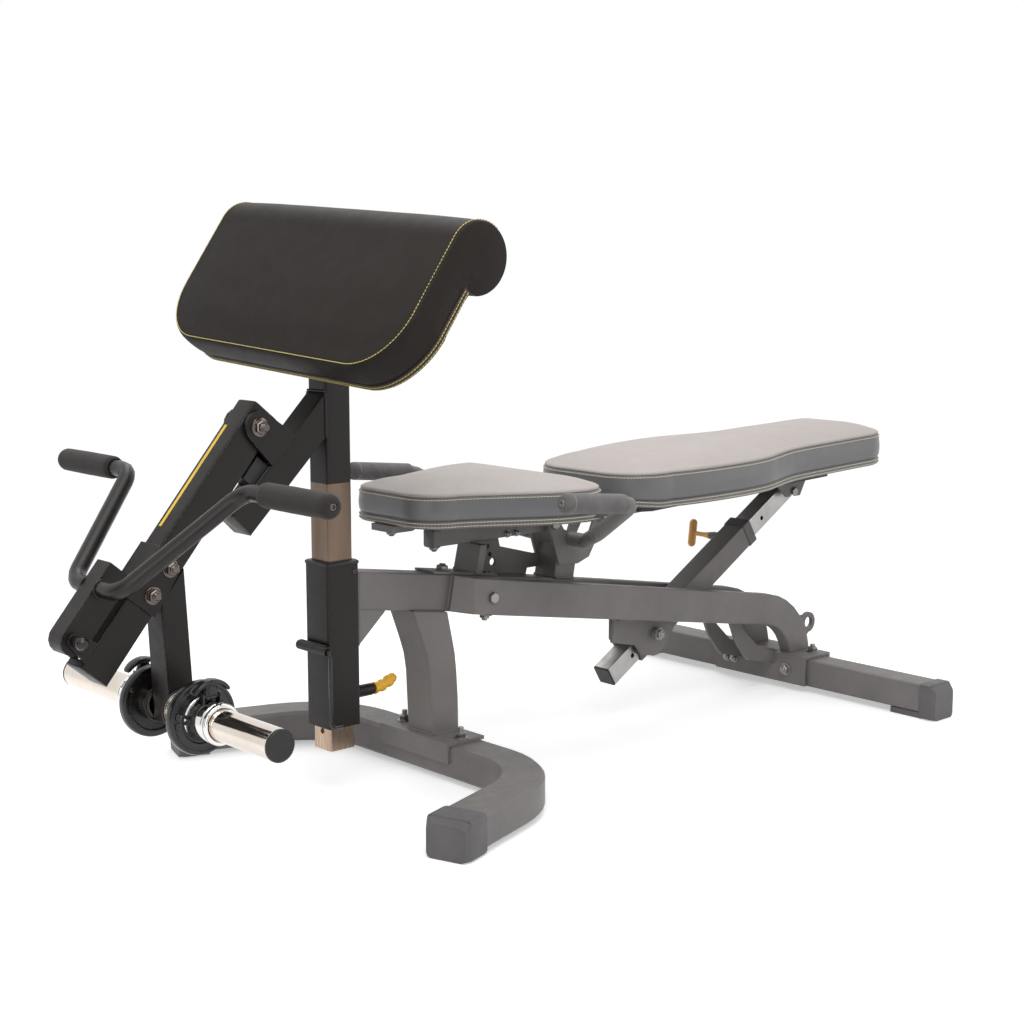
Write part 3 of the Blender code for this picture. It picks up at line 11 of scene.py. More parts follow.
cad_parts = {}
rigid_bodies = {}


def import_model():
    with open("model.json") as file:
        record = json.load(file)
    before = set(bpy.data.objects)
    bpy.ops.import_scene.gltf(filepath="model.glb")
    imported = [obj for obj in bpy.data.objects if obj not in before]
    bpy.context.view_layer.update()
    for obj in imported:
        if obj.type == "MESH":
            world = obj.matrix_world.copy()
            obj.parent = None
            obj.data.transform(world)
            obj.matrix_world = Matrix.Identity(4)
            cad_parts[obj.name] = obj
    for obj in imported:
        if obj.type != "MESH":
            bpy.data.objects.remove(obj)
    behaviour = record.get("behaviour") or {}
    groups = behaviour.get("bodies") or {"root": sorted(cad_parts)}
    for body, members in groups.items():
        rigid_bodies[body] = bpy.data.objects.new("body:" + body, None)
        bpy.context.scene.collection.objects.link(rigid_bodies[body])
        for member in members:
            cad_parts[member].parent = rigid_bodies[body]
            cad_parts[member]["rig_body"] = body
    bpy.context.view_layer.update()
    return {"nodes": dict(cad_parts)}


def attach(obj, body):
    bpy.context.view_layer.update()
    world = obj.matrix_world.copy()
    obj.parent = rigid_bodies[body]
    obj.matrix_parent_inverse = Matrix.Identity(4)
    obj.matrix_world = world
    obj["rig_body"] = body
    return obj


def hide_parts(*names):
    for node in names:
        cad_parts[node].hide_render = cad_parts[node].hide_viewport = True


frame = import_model()

# Bench coordinates are those of the part's source: zero on the floor under the mast.
SHIFT = 0.4451


def at(x, y, z):
    """Bench coordinates to the row frame."""
    return Vector((x - SHIFT, y, z))


def mm(*rows):
    """A table written in millimetres, in metres."""
    return [tuple(value / 1000 for value in row) for row in rows]


# Materials


class Graph:
    """A node tree, built node by node."""

    def __init__(self, tree):
        self.tree = tree

    def add(self, kind, props=None, **inputs):
        made = self.tree.nodes.new(kind)
        for key, value in (props or {}).items():
            setattr(made, key, value)
        for key, value in inputs.items():
            self.feed(made.inputs[key.replace("_", " ")], value)
        return made

    def feed(self, socket, value):
        if isinstance(value, bpy.types.NodeSocket):
            self.tree.links.new(value, socket)
        else:
            socket.default_value = value

    def span(self, value, low, high, to_low=0.0, to_high=1.0):
        """A value stretched from one range to another, and held to it."""
        limits = {"From_Min": low, "From_Max": high, "To_Min": to_low, "To_Max": to_high}
        return self.add("ShaderNodeMapRange", Value=value, **limits).outputs[0]

    def maths(self, operation, a, b=0.0):
        made = self.add("ShaderNodeMath", {"operation": operation, "use_clamp": operation != "SUBTRACT"})
        self.feed(made.inputs[0], a)
        self.feed(made.inputs[1], b)
        return made.outputs[0]

    def mix(self, amount, a, b):
        made = self.add("ShaderNodeMix", {"data_type": "RGBA"})
        for index, value in ((0, amount), (6, a), (7, b)):
            if isinstance(value, tuple):
                value = (*value, 1.0)
            self.feed(made.inputs[index], value)
        return made.outputs[2]

    def vectors(self, operation, *values):
        """Outputs of a vector maths node."""
        made = self.add("ShaderNodeVectorMath", {"operation": operation})
        for socket, value in zip(made.inputs, values):
            self.feed(socket, value)
        return made.outputs

    def sees_white(self):
        """1 for the rays that show the background: camera, glossy and transmission."""
        rays = self.add("ShaderNodeLightPath").outputs
        most = self.maths("MAXIMUM", rays["Is Camera Ray"], rays["Is Glossy Ray"])
        return self.maths("MAXIMUM", most, rays["Is Transmission Ray"])


class Shade(Graph):
    """A Principled material."""

    def __init__(self, name, **sockets):
        self.material = bpy.data.materials.new(name)
        self.material.use_nodes = True
        super().__init__(self.material.node_tree)
        self.bsdf = self.tree.nodes["Principled BSDF"]
        self.place = self.add("ShaderNodeTexCoord").outputs["Object"]
        for key, value in sockets.items():
            self.set(key.replace("_", " "), value)

    def set(self, key, value):
        self.feed(self.bsdf.inputs[key], value)

    def stretched(self, scale):
        return self.add("ShaderNodeMapping", Vector=self.place, Scale=scale).outputs[0]

    def noise(self, scale, detail=2.0, rough=0.5, vector=None, distort=0.0):
        return self.add("ShaderNodeTexNoise", Vector=vector or self.place, Scale=scale, Detail=detail,
                        Roughness=rough, Distortion=distort).outputs["Fac"]

    def cells(self, scale, feature="F1", vector=None):
        vector = vector or self.place
        made = self.add("ShaderNodeTexVoronoi", {"feature": feature}, Vector=vector, Scale=scale)
        return made.outputs["Distance"]

    def clouds(self, scale, detail, rough, low=0.0, high=1.0):
        """Soft patches between two values."""
        return self.span(self.noise(scale, detail, rough), 0.3, 0.7, low, high)

    def bump(self, height, strength, distance, normal=None):
        made = self.add("ShaderNodeBump", Height=height, Strength=strength, Distance=distance)
        if normal is not None:
            self.feed(made.inputs["Normal"], normal)
        return made.outputs[0]

    def rounded_edges(self, radius=0.0016):
        """Rounded normal, and a mask that is 1 on sharp edges."""
        rounded = self.add("ShaderNodeBevel", {"samples": 4}, Radius=radius).outputs[0]
        normal = self.add("ShaderNodeNewGeometry").outputs["Normal"]
        dot = self.vectors("DOT_PRODUCT", rounded, normal)["Value"]
        return rounded, self.span(dot, 0.97, 0.8)


def dim(colour, factor):
    """A colour made darker, or lighter above 1."""
    return tuple(c * factor for c in colour)


def powder_coat(name, colour, rough=0.42, edge=(0.2, 0.2, 0.2), wear_and_highlight=0.5, level=0.3):
    """Satin powder coat: fine orange peel, faint clouds, and lighter edges that are partly rubbed wear and
    partly painted highlight lines.
    """
    s = Shade(name, Specular_IOR_Level=level)
    rounded, mask = s.rounded_edges()
    base = s.mix(s.clouds(9.0, 4.0, 0.6), dim(colour, 0.88), dim(colour, 1.12))
    specks = s.span(s.noise(1500.0, 2.0, 0.7), 0.66, 0.72)
    base = s.mix(s.maths("MULTIPLY", specks, 0.5), base, dim(colour, 1.6))
    chips = s.span(s.noise(160.0, 3.0, 0.7), 0.46, 0.6)
    # Edges lightened towards the edge colour: partly rubbed wear, partly a painted highlight along the
    # corners.
    rub_and_highlight = s.maths("MULTIPLY", s.maths("MULTIPLY", mask, chips), wear_and_highlight)
    s.set("Base Color", s.mix(rub_and_highlight, base, edge))
    s.set("Roughness", s.clouds(60.0, 3.0, 0.6, rough - 0.06, rough + 0.07))
    s.set("Normal", s.bump(s.noise(700.0, 2.0, 0.5), 0.22, 0.0004, rounded))
    return s.material


def bright_metal(name, colour, rough, brushed=0.0, tint=(0.5, 0.4, 0.32), stain=0.0, grain=(30.0, 30.0, 1.5)):
    """Plated or bare metal: brushed grain, smudges and slow tint."""
    s = Shade(name, Metallic=1.0)
    rounded, mask = s.rounded_edges(0.001)
    lines = s.noise(18.0, 3.0, 0.7, s.stretched(grain))
    smudge = s.span(s.noise(22.0, 4.0, 0.65, distort=0.4), 0.35, 0.75)
    base = s.mix(s.maths("MULTIPLY", smudge, stain), colour, tint)
    base = s.mix(s.span(lines, 0.3, 0.7, 0.0, 0.16), base, dim(colour, 0.7))
    s.set("Base Color", base)
    worn = s.span(s.noise(90.0, 4.0, 0.7), 0.3, 0.8, rough * 0.75, rough * 1.5)
    s.set("Roughness", s.mix(s.maths("MULTIPLY", mask, 0.5), worn, (rough, rough, rough)))
    s.set("Normal", s.bump(lines, 0.05 + brushed, 0.0002, rounded))
    return s.material


def leather(name, colour, rough=0.5, grain=420.0, depth=0.28, level=0.45, sheen=0.04):
    """Pebbled upholstery vinyl, with painted shade in the grooves of its grain."""
    s = Shade(name, Specular_IOR_Level=level)
    shift = s.add("ShaderNodeTexNoise", Vector=s.place, Scale=130.0, Detail=2.0).outputs["Color"]
    warped = s.vectors("ADD", s.place, s.vectors("MULTIPLY", shift, (0.0032,) * 3)[0])[0]
    pebbles = s.cells(grain, "DISTANCE_TO_EDGE", warped)
    height = s.span(pebbles, 0.0, 0.28)
    base = s.mix(s.clouds(14.0, 3.0, 0.6), dim(colour, 0.96), dim(colour, 1.04))
    # Painted shade: the grooves between the pebbles are darkened.
    base = s.mix(s.span(height, 0.0, 0.5, 0.35, 0.0), base, dim(colour, 0.5))
    s.set("Base Color", base)
    s.set("Roughness", s.clouds(35.0, 3.0, 0.6, rough - 0.03, rough + 0.04))
    fine = s.noise(1600.0, 2.0, 0.6)
    normal = s.bump(fine, 0.1, 0.0002)
    s.set("Normal", s.bump(height, depth, 0.00035, normal))
    s.set("Sheen Weight", sheen)
    return s.material


def plastic(name, colour, rough=0.5, texture=900.0, depth=0.15, level=0.4):
    """Moulded plastic with a fine spark texture and scuffs."""
    s = Shade(name, Specular_IOR_Level=level)
    rounded, _ = s.rounded_edges()
    base = s.mix(s.clouds(25.0, 3.0, 0.6), dim(colour, 0.9), dim(colour, 1.1))
    scuff = s.span(s.noise(70.0, 4.0, 0.8, s.stretched((1.0, 3.0, 6.0))), 0.6, 0.72)
    base = s.mix(s.maths("MULTIPLY", scuff, 0.25), base, tuple(min(1.0, c * 1.5 + 0.02) for c in colour))
    s.set("Base Color", base)
    s.set("Roughness", s.clouds(80.0, 3.0, 0.6, rough - 0.07, rough + 0.08))
    s.set("Normal", s.bump(s.noise(texture, 2.0, 0.6), depth, 0.0003, rounded))
    return s.material


def foam(name, colour):
    """Closed-cell foam with a rubbed skin and painted shade in its pores."""
    s = Shade(name, Roughness=0.82, Specular_IOR_Level=0.3)
    pores = s.cells(850.0)
    base = s.mix(s.span(s.noise(40.0, 4.0, 0.7), 0.35, 0.7), dim(colour, 0.85), dim(colour, 1.2))
    # Painted shade: the pores are darkened.
    base = s.mix(s.span(pores, 0.0, 0.25, 0.5, 0.0), base, dim(colour, 0.4))
    s.set("Base Color", base)
    s.set("Normal", s.bump(s.maths("ADD", pores, s.noise(260.0, 3.0, 0.6)), 0.35, 0.0004))
    s.set("Sheen Weight", 0.12)
    s.set("Sheen Roughness", 0.6)
    return s.material


def thread(name, colour):
    """Twisted sewing thread."""
    s = Shade(name, Roughness=0.55)
    twist = s.noise(2600.0, 2.0, 0.6)
    s.set("Base Color", s.mix(s.span(twist, 0.35, 0.65), dim(colour, 0.7), colour))
    s.set("Normal", s.bump(twist, 0.4, 0.0002))
    return s.material


BLACK = (0.0104, 0.0082, 0.0072)
GREY = (0.186, 0.174, 0.167)
M = {
    # The edge colours and amounts of the coats lighten their edges: partly rubbed wear, partly painted
    # highlight lines.
    "black_paint": powder_coat("black_coat", BLACK, 0.4, (0.26, 0.24, 0.225), 0.7, 0.28),
    "grey_paint": powder_coat("grey_coat", GREY, 0.46, (0.34, 0.33, 0.32), 0.6, 0.3),
    "satin_black": powder_coat("satin_black", dim(BLACK, 1.1), 0.36, (0.1, 0.095, 0.09), 0.3, 0.42),
    "chrome": bright_metal("chrome_plate", (0.8, 0.79, 0.78), 0.055, 0.0, (0.62, 0.58, 0.54), 0.25),
    "warm_chrome": bright_metal("warm_chrome_plate", (0.78, 0.71, 0.64), 0.1, 0.0, (0.6, 0.5, 0.42), 0.35,
                                (1.0, 40.0, 1.0)),
    "lever_steel": bright_metal("lever_steel", (0.155, 0.13, 0.118), 0.2, 0.03, (0.07, 0.058, 0.052), 0.5),
    "brown_plug": plastic("brown_plug", (0.048, 0.036, 0.032), 0.45),
    "dull_chrome": bright_metal("dull_chrome_plate", (0.44, 0.43, 0.42), 0.38, 0.03, (0.3, 0.28, 0.27), 0.6),
    "bolt_steel": bright_metal("dark_steel", (0.15, 0.13, 0.12), 0.3, 0.05, (0.07, 0.06, 0.055), 0.5),
    "grey_steel": bright_metal("grey_steel", (0.3, 0.29, 0.28), 0.36, 0.05, (0.19, 0.18, 0.17), 0.5),
    "black_vinyl": leather("black_leather", (0.0168, 0.0128, 0.0108), 0.6, level=0.2, sheen=0.0),
    "strip_vinyl": leather("brown_leather", (0.05, 0.037, 0.03), 0.5),
    # Cushion cover: a pale top and a darker grey side band. Their contrast is raised with painted light, the
    # top paler as if lit and the band darker as if shaded.
    "grey_vinyl": leather("pale_leather_lit", (0.44, 0.395, 0.372), 0.55),
    "grey_band_shaded": leather("grey_leather_shaded", (0.158, 0.157, 0.161), 0.36, level=0.6),
    "board": leather("backing_cloth", (0.12, 0.112, 0.107), 0.85, 900.0, 0.2, 0.2),
    "plastic": plastic("black_plastic", (0.0125, 0.012, 0.0118), 0.42),
    "gloss_plastic": plastic("gloss_plastic", (0.0085, 0.008, 0.0078), 0.24, 500.0, 0.06, 0.5),
    "grey_cap": plastic("grey_plastic", (0.115, 0.11, 0.11), 0.5),
    "foam": foam("black_foam", (0.025, 0.021, 0.019)),
    "grey_foam": foam("grey_foam", (0.15, 0.145, 0.142)),
    "yellow_plastic": plastic("yellow_grip", (0.86, 0.47, 0.035), 0.38, 500.0, 0.08),
    "orange_plastic": plastic("orange_grip", (0.98, 0.52, 0.15), 0.42, 500.0, 0.08),
    "yellow_film": plastic("yellow_film", (0.9, 0.6, 0.06), 0.35, 400.0, 0.03),
    "weld_black": powder_coat("black_weld", dim(BLACK, 1.5), 0.34, (0.1, 0.095, 0.09), 0.35, 0.4),
    "weld_grey": powder_coat("grey_weld", dim(GREY, 0.85), 0.36, (0.34, 0.33, 0.32), 0.5, 0.4),
    "thread": thread("yellow_thread", (0.78, 0.64, 0.22)),
    "pale_thread": thread("pale_thread", (0.8, 0.72, 0.52)),
}


PAINT_LINE = (0.5358, 0.5364)


def mast_finish():
    """Plating with a painted reflection, bright and warm at the foot and dark brown higher up, and black coat
    above one line.
    """
    s = Shade("mast_plating")
    rounded, _ = s.rounded_edges()
    height = s.add("ShaderNodeSeparateXYZ", Vector=s.place).outputs["Z"]
    wobble = s.span(s.noise(120.0, 2.0, 0.5), 0.0, 1.0, -0.0006, 0.0006)
    painted = s.span(s.maths("ADD", height, wobble), *PAINT_LINE)
    lines = s.noise(20.0, 4.0, 0.7, s.stretched((40.0, 40.0, 0.8)))
    clouds = s.noise(9.0, 3.0, 0.5, s.stretched((2.5, 2.5, 0.35)), 0.3)
    # Painted reflection: the plating is bright and warm near the foot and darkens to brown above.
    plating_and_reflection = s.mix(s.span(height, 0.1, 0.34), (0.62, 0.46, 0.34), (0.13, 0.094, 0.072))
    plating_and_reflection = s.mix(s.span(clouds, 0.35, 0.65, 0.0, 0.5), plating_and_reflection, (0.3, 0.22, 0.165))
    plating_and_reflection = s.mix(s.span(lines, 0.42, 0.6, 0.0, 0.45), plating_and_reflection, (0.14, 0.095, 0.07))
    s.set("Base Color", s.mix(painted, plating_and_reflection, BLACK))
    s.set("Metallic", s.maths("SUBTRACT", 1.0, painted))
    rough = s.span(lines, 0.3, 0.7, 0.16, 0.3)
    s.set("Roughness", s.mix(painted, rough, (0.4, 0.4, 0.4)))
    s.set("Specular IOR Level", 0.3)
    grain = s.mix(painted, lines, s.noise(700.0, 2.0, 0.5))
    s.set("Normal", s.bump(grain, 0.1, 0.0003, rounded))
    return s.material


# Mesh helpers


def mesh_object(name, bm, body, finish, smooth=35, covers=(), slot=None):
    """An object of bm on a body. covers names the CAD nodes whose place it takes."""
    mesh = bpy.data.meshes.new(name)
    bm.to_mesh(mesh)
    bm.free()
    made = bpy.data.objects.new(name, mesh)
    bpy.context.scene.collection.objects.link(made)
    mesh.materials.append(M[finish] if isinstance(finish, str) else finish)
    mesh.shade_smooth()
    if smooth:
        mesh.set_sharp_from_angle(angle=radians(smooth))
    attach(made, body)
    if covers:
        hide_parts(*covers)
    return made


def ring_faces(bm, rows):
    """Quads between rows of vertices, each row closed on itself."""
    made = []
    for low, high in zip(rows, rows[1:]):
        count = len(low)
        for i in range(count):
            j = (i + 1) % count
            made.append(bm.faces.new((low[i], low[j], high[j], high[i])))
    return made


def skin(bm, rings, closed=False):
    """A solid through rings of equal length, added to bm: capped, or closed on itself."""
    rows = [[bm.verts.new(p) for p in ring] for ring in rings]
    made = ring_faces(bm, rows + rows[:1] if closed else rows)
    if not closed:
        made.append(bm.faces.new(rows[0][::-1]))
        made.append(bm.faces.new(rows[-1]))
    area = sum(f.calc_area() for f in made)
    centre = sum((f.calc_center_median() * f.calc_area() for f in made), Vector()) / area
    volume = 0.0
    for f in made:
        f.normal_update()
        volume += (f.calc_center_median() - centre).dot(f.normal) * f.calc_area()
    if volume < 0:
        bmesh.ops.reverse_faces(bm, faces=made)


def axes(direction):
    """Unit vectors along a direction and across it."""
    along = Vector(direction).normalized()
    side = along.orthogonal().normalized() if abs(along.y) < 0.9 else Vector((0, 0, 1))
    return along, side, along.cross(side)


def circle(centre, a, b, radius, count):
    """Points on a circle in the plane of the unit vectors a and b."""
    turns = (2 * pi * k / count for k in range(count))
    return [centre + (a * cos(t) + b * sin(t)) * radius for t in turns]


def lathe(bm, origin, direction, profile, sides=48, closed=False):
    """Solid of revolution in bm: profile holds (distance along, radius)."""
    along, a, b = axes(direction)
    skin(bm, [circle(origin + along * x, a, b, max(radius, 0.00002), sides) for x, radius in profile], closed)


def sweep(bm, path, radius, sides=12, closed=False, ripple=0.0, pitch=0.003):
    """Round bar along a path. ripple swells it at each pitch, as in a weld bead."""
    rings, side, run = [], None, 0.0
    count = len(path)
    for i, point in enumerate(path):
        if closed:
            along = path[(i + 1) % count] - path[i - 1]
        else:
            along = path[min(i + 1, count - 1)] - path[max(i - 1, 0)]
        along.normalize()
        side = along.orthogonal() if side is None else side - along * side.dot(along)
        side.normalize()
        other = along.cross(side)
        if i:
            run += (point - path[i - 1]).length
        size = radius * (1 + ripple * cos(2 * pi * run / pitch))
        rings.append(circle(point, side, other, size, sides))
    skin(bm, rings, closed)


def dense(points, step, closed=False):
    """Points spaced evenly along a line."""
    points = [Vector(p) for p in points]
    if closed:
        points.append(points[0])
    lengths = [(b - a).length for a, b in zip(points, points[1:])]
    total = sum(lengths)
    count = max(2, round(total / step))
    made, index, passed = [], 0, 0.0
    for i in range(count if closed else count + 1):
        target = total * i / count
        while index < len(lengths) - 1 and passed + lengths[index] < target:
            passed += lengths[index]
            index += 1
        made.append(points[index].lerp(points[index + 1], (target - passed) / max(lengths[index], 1e-9)))
    return made


def arc(centre, radius, start, end, steps):
    """Points on an arc, its ends given in degrees."""
    turn = [radians(start + (end - start) * i / steps) for i in range(steps + 1)]
    return [(centre[0] + radius * cos(t), centre[1] + radius * sin(t)) for t in turn]


def smooth_step(x):
    x = min(1.0, max(0.0, x))
    return x * x * (3 - 2 * x)


def hill(x, centre, width):
    """A soft bump of height 1."""
    d = abs(x - centre) / width
    return (1 - d * d) ** 2 if d < 1 else 0.0


# CAD nodes: shading and finish

PALE_BODIES = {"frame", "seat", "back", "strut_sleeve", "strut_inner", "strut_pin", "seat_pin"}
BLACK_ON_FRAME = {"mast_sleeve", "sleeve_liner"}
OWN_FINISH = {"horn_near": "warm_chrome", "horn_far": "warm_chrome", "strut_inner": "dull_chrome",
              "latch_rod": "gloss_plastic", "carrier_pin": "gloss_plastic",
              "handle_bar_near": "satin_black", "handle_bar_far": "satin_black"}


def smooth_group():
    """Geometry nodes that shade smooth up to an angle."""
    group = bpy.data.node_groups.new("smooth_by_angle", "GeometryNodeTree")
    for way in ("INPUT", "OUTPUT"):
        group.interface.new_socket("Geometry", in_out=way, socket_type="NodeSocketGeometry")
    graph = Graph(group)
    start = graph.add("NodeGroupInput").outputs[0]
    faces = graph.add("GeometryNodeSetShadeSmooth", Geometry=start).outputs[0]
    test = graph.add("FunctionNodeCompare", {"operation": "LESS_THAN"})
    graph.feed(test.inputs[0], graph.add("GeometryNodeInputMeshEdgeAngle").outputs["Unsigned Angle"])
    graph.feed(test.inputs[1], radians(33))
    edges = graph.add("GeometryNodeSetShadeSmooth", {"domain": "EDGE"}, Geometry=faces,
                      Shade_Smooth=test.outputs[0])
    graph.feed(graph.add("NodeGroupOutput").inputs[0], edges.outputs[0])
    return group


def dress_cad():
    """Gives every CAD node its finish, and shading that hides the facets."""
    plated = mast_finish()
    steps = (
        ("WELD", {"merge_threshold": 2e-6}),
        ("DECIMATE", {"decimate_type": "DISSOLVE", "angle_limit": radians(0.4)}),
        ("NODES", {"node_group": smooth_group()}),
        ("WEIGHTED_NORMAL", {"keep_sharp": True}),
    )
    for name, node in frame["nodes"].items():
        slot = node.data.materials[0].name.split(".")[0]
        pale = node["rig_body"] in PALE_BODIES and name not in BLACK_ON_FRAME
        if pale:
            slot = {"plastic": "grey_cap", "bolt_steel": "grey_steel", "foam": "grey_foam"}.get(slot, slot)
        finish = OWN_FINISH.get(name, slot)
        node.data.materials[0] = plated if name == "mast" else M[finish]
        if node.data.attributes.get("custom_normal"):
            node.data.attributes.remove(node.data.attributes["custom_normal"])
        for kind, settings in steps:
            modifier = node.modifiers.new(kind.title(), kind)
            for key, value in settings.items():
                setattr(modifier, key, value)


dress_cad()


# Upholstery

STITCH, STITCH_GAP, STITCH_RADIUS = 0.0054, 0.0006, 0.00086
# Rings of one stitch: (along its length, width, rise over the cloth)
STITCH_SHAPE = ((-0.5, 0.3, -0.5), (-0.36, 0.85, 0.25), (0.0, 1.0, 0.55), (0.36, 0.85, 0.25),
                (0.5, 0.3, -0.5))


def stitches(name, rows, body, finish):
    """Sewn thread along rows: each row is (points, surface normals, closed)."""
    bm = bmesh.new()
    for points, normals, closed in rows:
        line = [*points, points[0]] if closed else points
        lift = [*normals, normals[0]] if closed else normals
        runs = [0.0]
        for a, b in zip(line, line[1:]):
            runs.append(runs[-1] + (b - a).length)
        pitch = runs[-1] / max(1, round(runs[-1] / (STITCH + STITCH_GAP)))
        index = 0
        for k in range(int(runs[-1] / pitch + 0.5)):
            middle = (k + 0.5) * pitch
            while index < len(runs) - 2 and runs[index + 1] < middle:
                index += 1
            f = (middle - runs[index]) / max(runs[index + 1] - runs[index], 1e-9)
            point = line[index].lerp(line[index + 1], f)
            up = lift[index].lerp(lift[index + 1], f).normalized()
            along = (line[index + 1] - line[index]).normalized()
            side = up.cross(along).normalized()
            along = (along + side * 0.07 * noise.noise(point * 300)).normalized()
            rings = []
            for reach, width, rise in STITCH_SHAPE:
                centre = point + along * reach * STITCH + up * rise * STITCH_RADIUS
                rings.append(circle(centre, side, up, width * STITCH_RADIUS, 6))
            skin(bm, rings)
    mesh_object(name, bm, body, finish, 0)


def grown(outline, depth):
    """A closed (x, y) outline moved outwards by depth; the outline is evenly spaced."""
    made = []
    area = sum(a[0] * b[1] - b[0] * a[1] for a, b in zip(outline, outline[1:] + outline[:1]))
    sign = 1 if area > 0 else -1
    count = len(outline)
    for i, (x, y) in enumerate(outline):
        ax, ay = outline[i - 2]
        bx, by = outline[(i + 2) % count]
        dx, dy = bx - ax, by - ay
        size = hypot(dx, dy)
        made.append((x + sign * dy / size * depth, y - sign * dx / size * depth))
    return made


def fill_panel(bm, rim, flat, lift, spacing=0.007, extra=()):
    """Triangles inside a rim of vertices.

    flat gives the rim's plane points, and lift(u, v, depth) the places inside.
    """
    points = [Vector(p) for p in flat]
    low = Vector((min(p.x for p in points), min(p.y for p in points)))
    high = Vector((max(p.x for p in points), max(p.y for p in points)))
    count = len(points)
    inside = [Vector(p) for p in extra]
    row_height = spacing * 0.866
    for row in range(int((high.y - low.y) / row_height) + 1):
        v = low.y + row * row_height
        u = low.x + (spacing / 2 if row % 2 else 0)
        while u < high.x:
            if all(abs(u - p[0]) + abs(v - p[1]) > spacing * 0.8 for p in extra):
                inside.append(Vector((u, v)))
            u += spacing
    rim_a = np.array(points)
    rim_b = np.roll(rim_a, -1, axis=0)
    clear = min(spacing * 0.62, 0.0035)  # free of points beside the rim
    kept = []
    for p in inside:
        crosses = (rim_a[:, 1] > p.y) != (rim_b[:, 1] > p.y)
        slope = (p.y - rim_a[:, 1]) / np.where(crosses, rim_b[:, 1] - rim_a[:, 1], 1.0)
        right = p.x < rim_a[:, 0] + slope * (rim_b[:, 0] - rim_a[:, 0])
        nearest = np.hypot(rim_a[:, 0] - p.x, rim_a[:, 1] - p.y).min()
        if (crosses & right).sum() % 2 and nearest > clear:
            kept.append((p, float(nearest)))
    edges = [(i, (i + 1) % count) for i in range(count)]
    result = geometry.delaunay_2d_cdt(points + [p for p, _ in kept], edges, [], 1, 1e-7)
    verts = {}
    for i, origins in enumerate(result[3]):
        if not origins:
            raise ValueError(f"rim crosses itself at {result[0][i]}")
        source = min(origins)
        if source < count:
            verts[i] = rim[source]
        else:
            p, depth = kept[source - count]
            verts[i] = bm.verts.new(lift(p.x, p.y, depth))
    return [bm.faces.new([verts[i] for i in face]) for face in result[2]]


# Side of a seat or back cushion: (outwards, height above the base or below the seam)
STRIP = mm((-20, 7.5), (-11, 2.4), (-4, 0.2), (-1.6, 0), (-0.2, 0.8), (0.5, 2.4), (0.5, 5.2), (-0.2, 6.6),
           (-0.2, 7.6), (0.5, 8.8), (0.4, 10.8), (-0.4, 12), (-3.4, 12.8))
LIP = mm((1, -8), (0.6, -5.2), (0, -4), (-1.6, -3), (-3, -2.7), (-1.6, -2.2), (-1, -1), (-1.3, 0.6),
         (-2.6, 2), (-5, 3.4), (-8.5, 4.6), (-13, 5.8))
BAND_STEPS = 8
SEAM_ROW = 4  # in LIP, where the side band meets the top


def cushion(name, node, outline, depth, crown, height, body, reach):
    """Boxed cushion: wrapped base strip, drawn side band, sunk seam and crowned top."""
    outline = [(p.x, p.y) for p in dense([(x, y, 0) for x, y in outline], 0.0042, True)]
    profile = [(grow, -depth + t) for grow, t in STRIP]
    start, end = -depth + 0.0142, -0.011
    profile.append((-0.0008, start))
    for k in range(1, BAND_STEPS):
        f = k / BAND_STEPS
        profile.append((0.0004 + 0.0022 * sin(pi * f) ** 0.8, start + (end - start) * f))
    profile += LIP
    bm = bmesh.new()
    rows = []
    for index, (grow, t) in enumerate(profile):
        ring = []
        for i, (x, y) in enumerate(grown(outline, grow)):
            ripple = 0.0
            if len(STRIP) < index < len(STRIP) + BAND_STEPS + 2:
                bend = noise.noise(Vector((x * 9, y * 9, 4.2))) * 0.0007
                ripple = bend + 0.00025 * noise.noise(Vector((x * 55, y * 55, t * 30)))
            cx, cy = outline[i]
            gx, gy = x - cx, y - cy
            size = hypot(gx, gy) or 1.0
            px, py = x + gx / size * ripple, y + gy / size * ripple
            ring.append(bm.verts.new(at(px, py, height(px, t))))
        rows.append(ring)
    sides = ring_faces(bm, rows)
    top_flat = grown(outline, profile[-1][0])
    edge = profile[-1][1]

    def crowned(x, y, d):
        f = 1 - (1 - min(1.0, d / reach)) ** 2.4
        dimple = 0.0006 * noise.noise(Vector((x * 11, y * 11, 1.7)))
        return at(x, y, height(x, edge + (crown - edge) * f + dimple * min(1.0, d / 0.03)))

    fill_panel(bm, rows[-1], top_flat, crowned)
    flat = grown(outline, profile[0][0])
    base = fill_panel(bm, rows[0], flat, lambda x, y, d: at(x, y, height(x, -depth + STRIP[0][1])), 0.03)
    bmesh.ops.recalc_face_normals(bm, faces=bm.faces)
    # The sides below the seam and the base take the darker band colour, which carries painted shade.
    split = len(outline) * (len(profile) - len(LIP) + SEAM_ROW)
    for f in sides[:split] + base:
        f.material_index = 1
    made = mesh_object(name, bm, body, "grey_vinyl", 0, (node,), "grey_vinyl")
    made.data.materials.append(M["grey_band_shaded"])
    rows = []
    for grow, t in ((0.0009, -0.0064), (0.001, -depth + 0.0098), (0.001, -depth + 0.0038)):
        line = [at(x, y, height(x, t)) for x, y in grown(outline, grow)]
        middle = grown(outline, grow + 0.01)
        lift = [(Vector((mx - SHIFT, my, p.z)) - p).normalized() for (mx, my), p in zip(middle, line)]
        rows.append((line, lift, True))
    stitches(name + "_stitching", rows, body, "pale_thread")


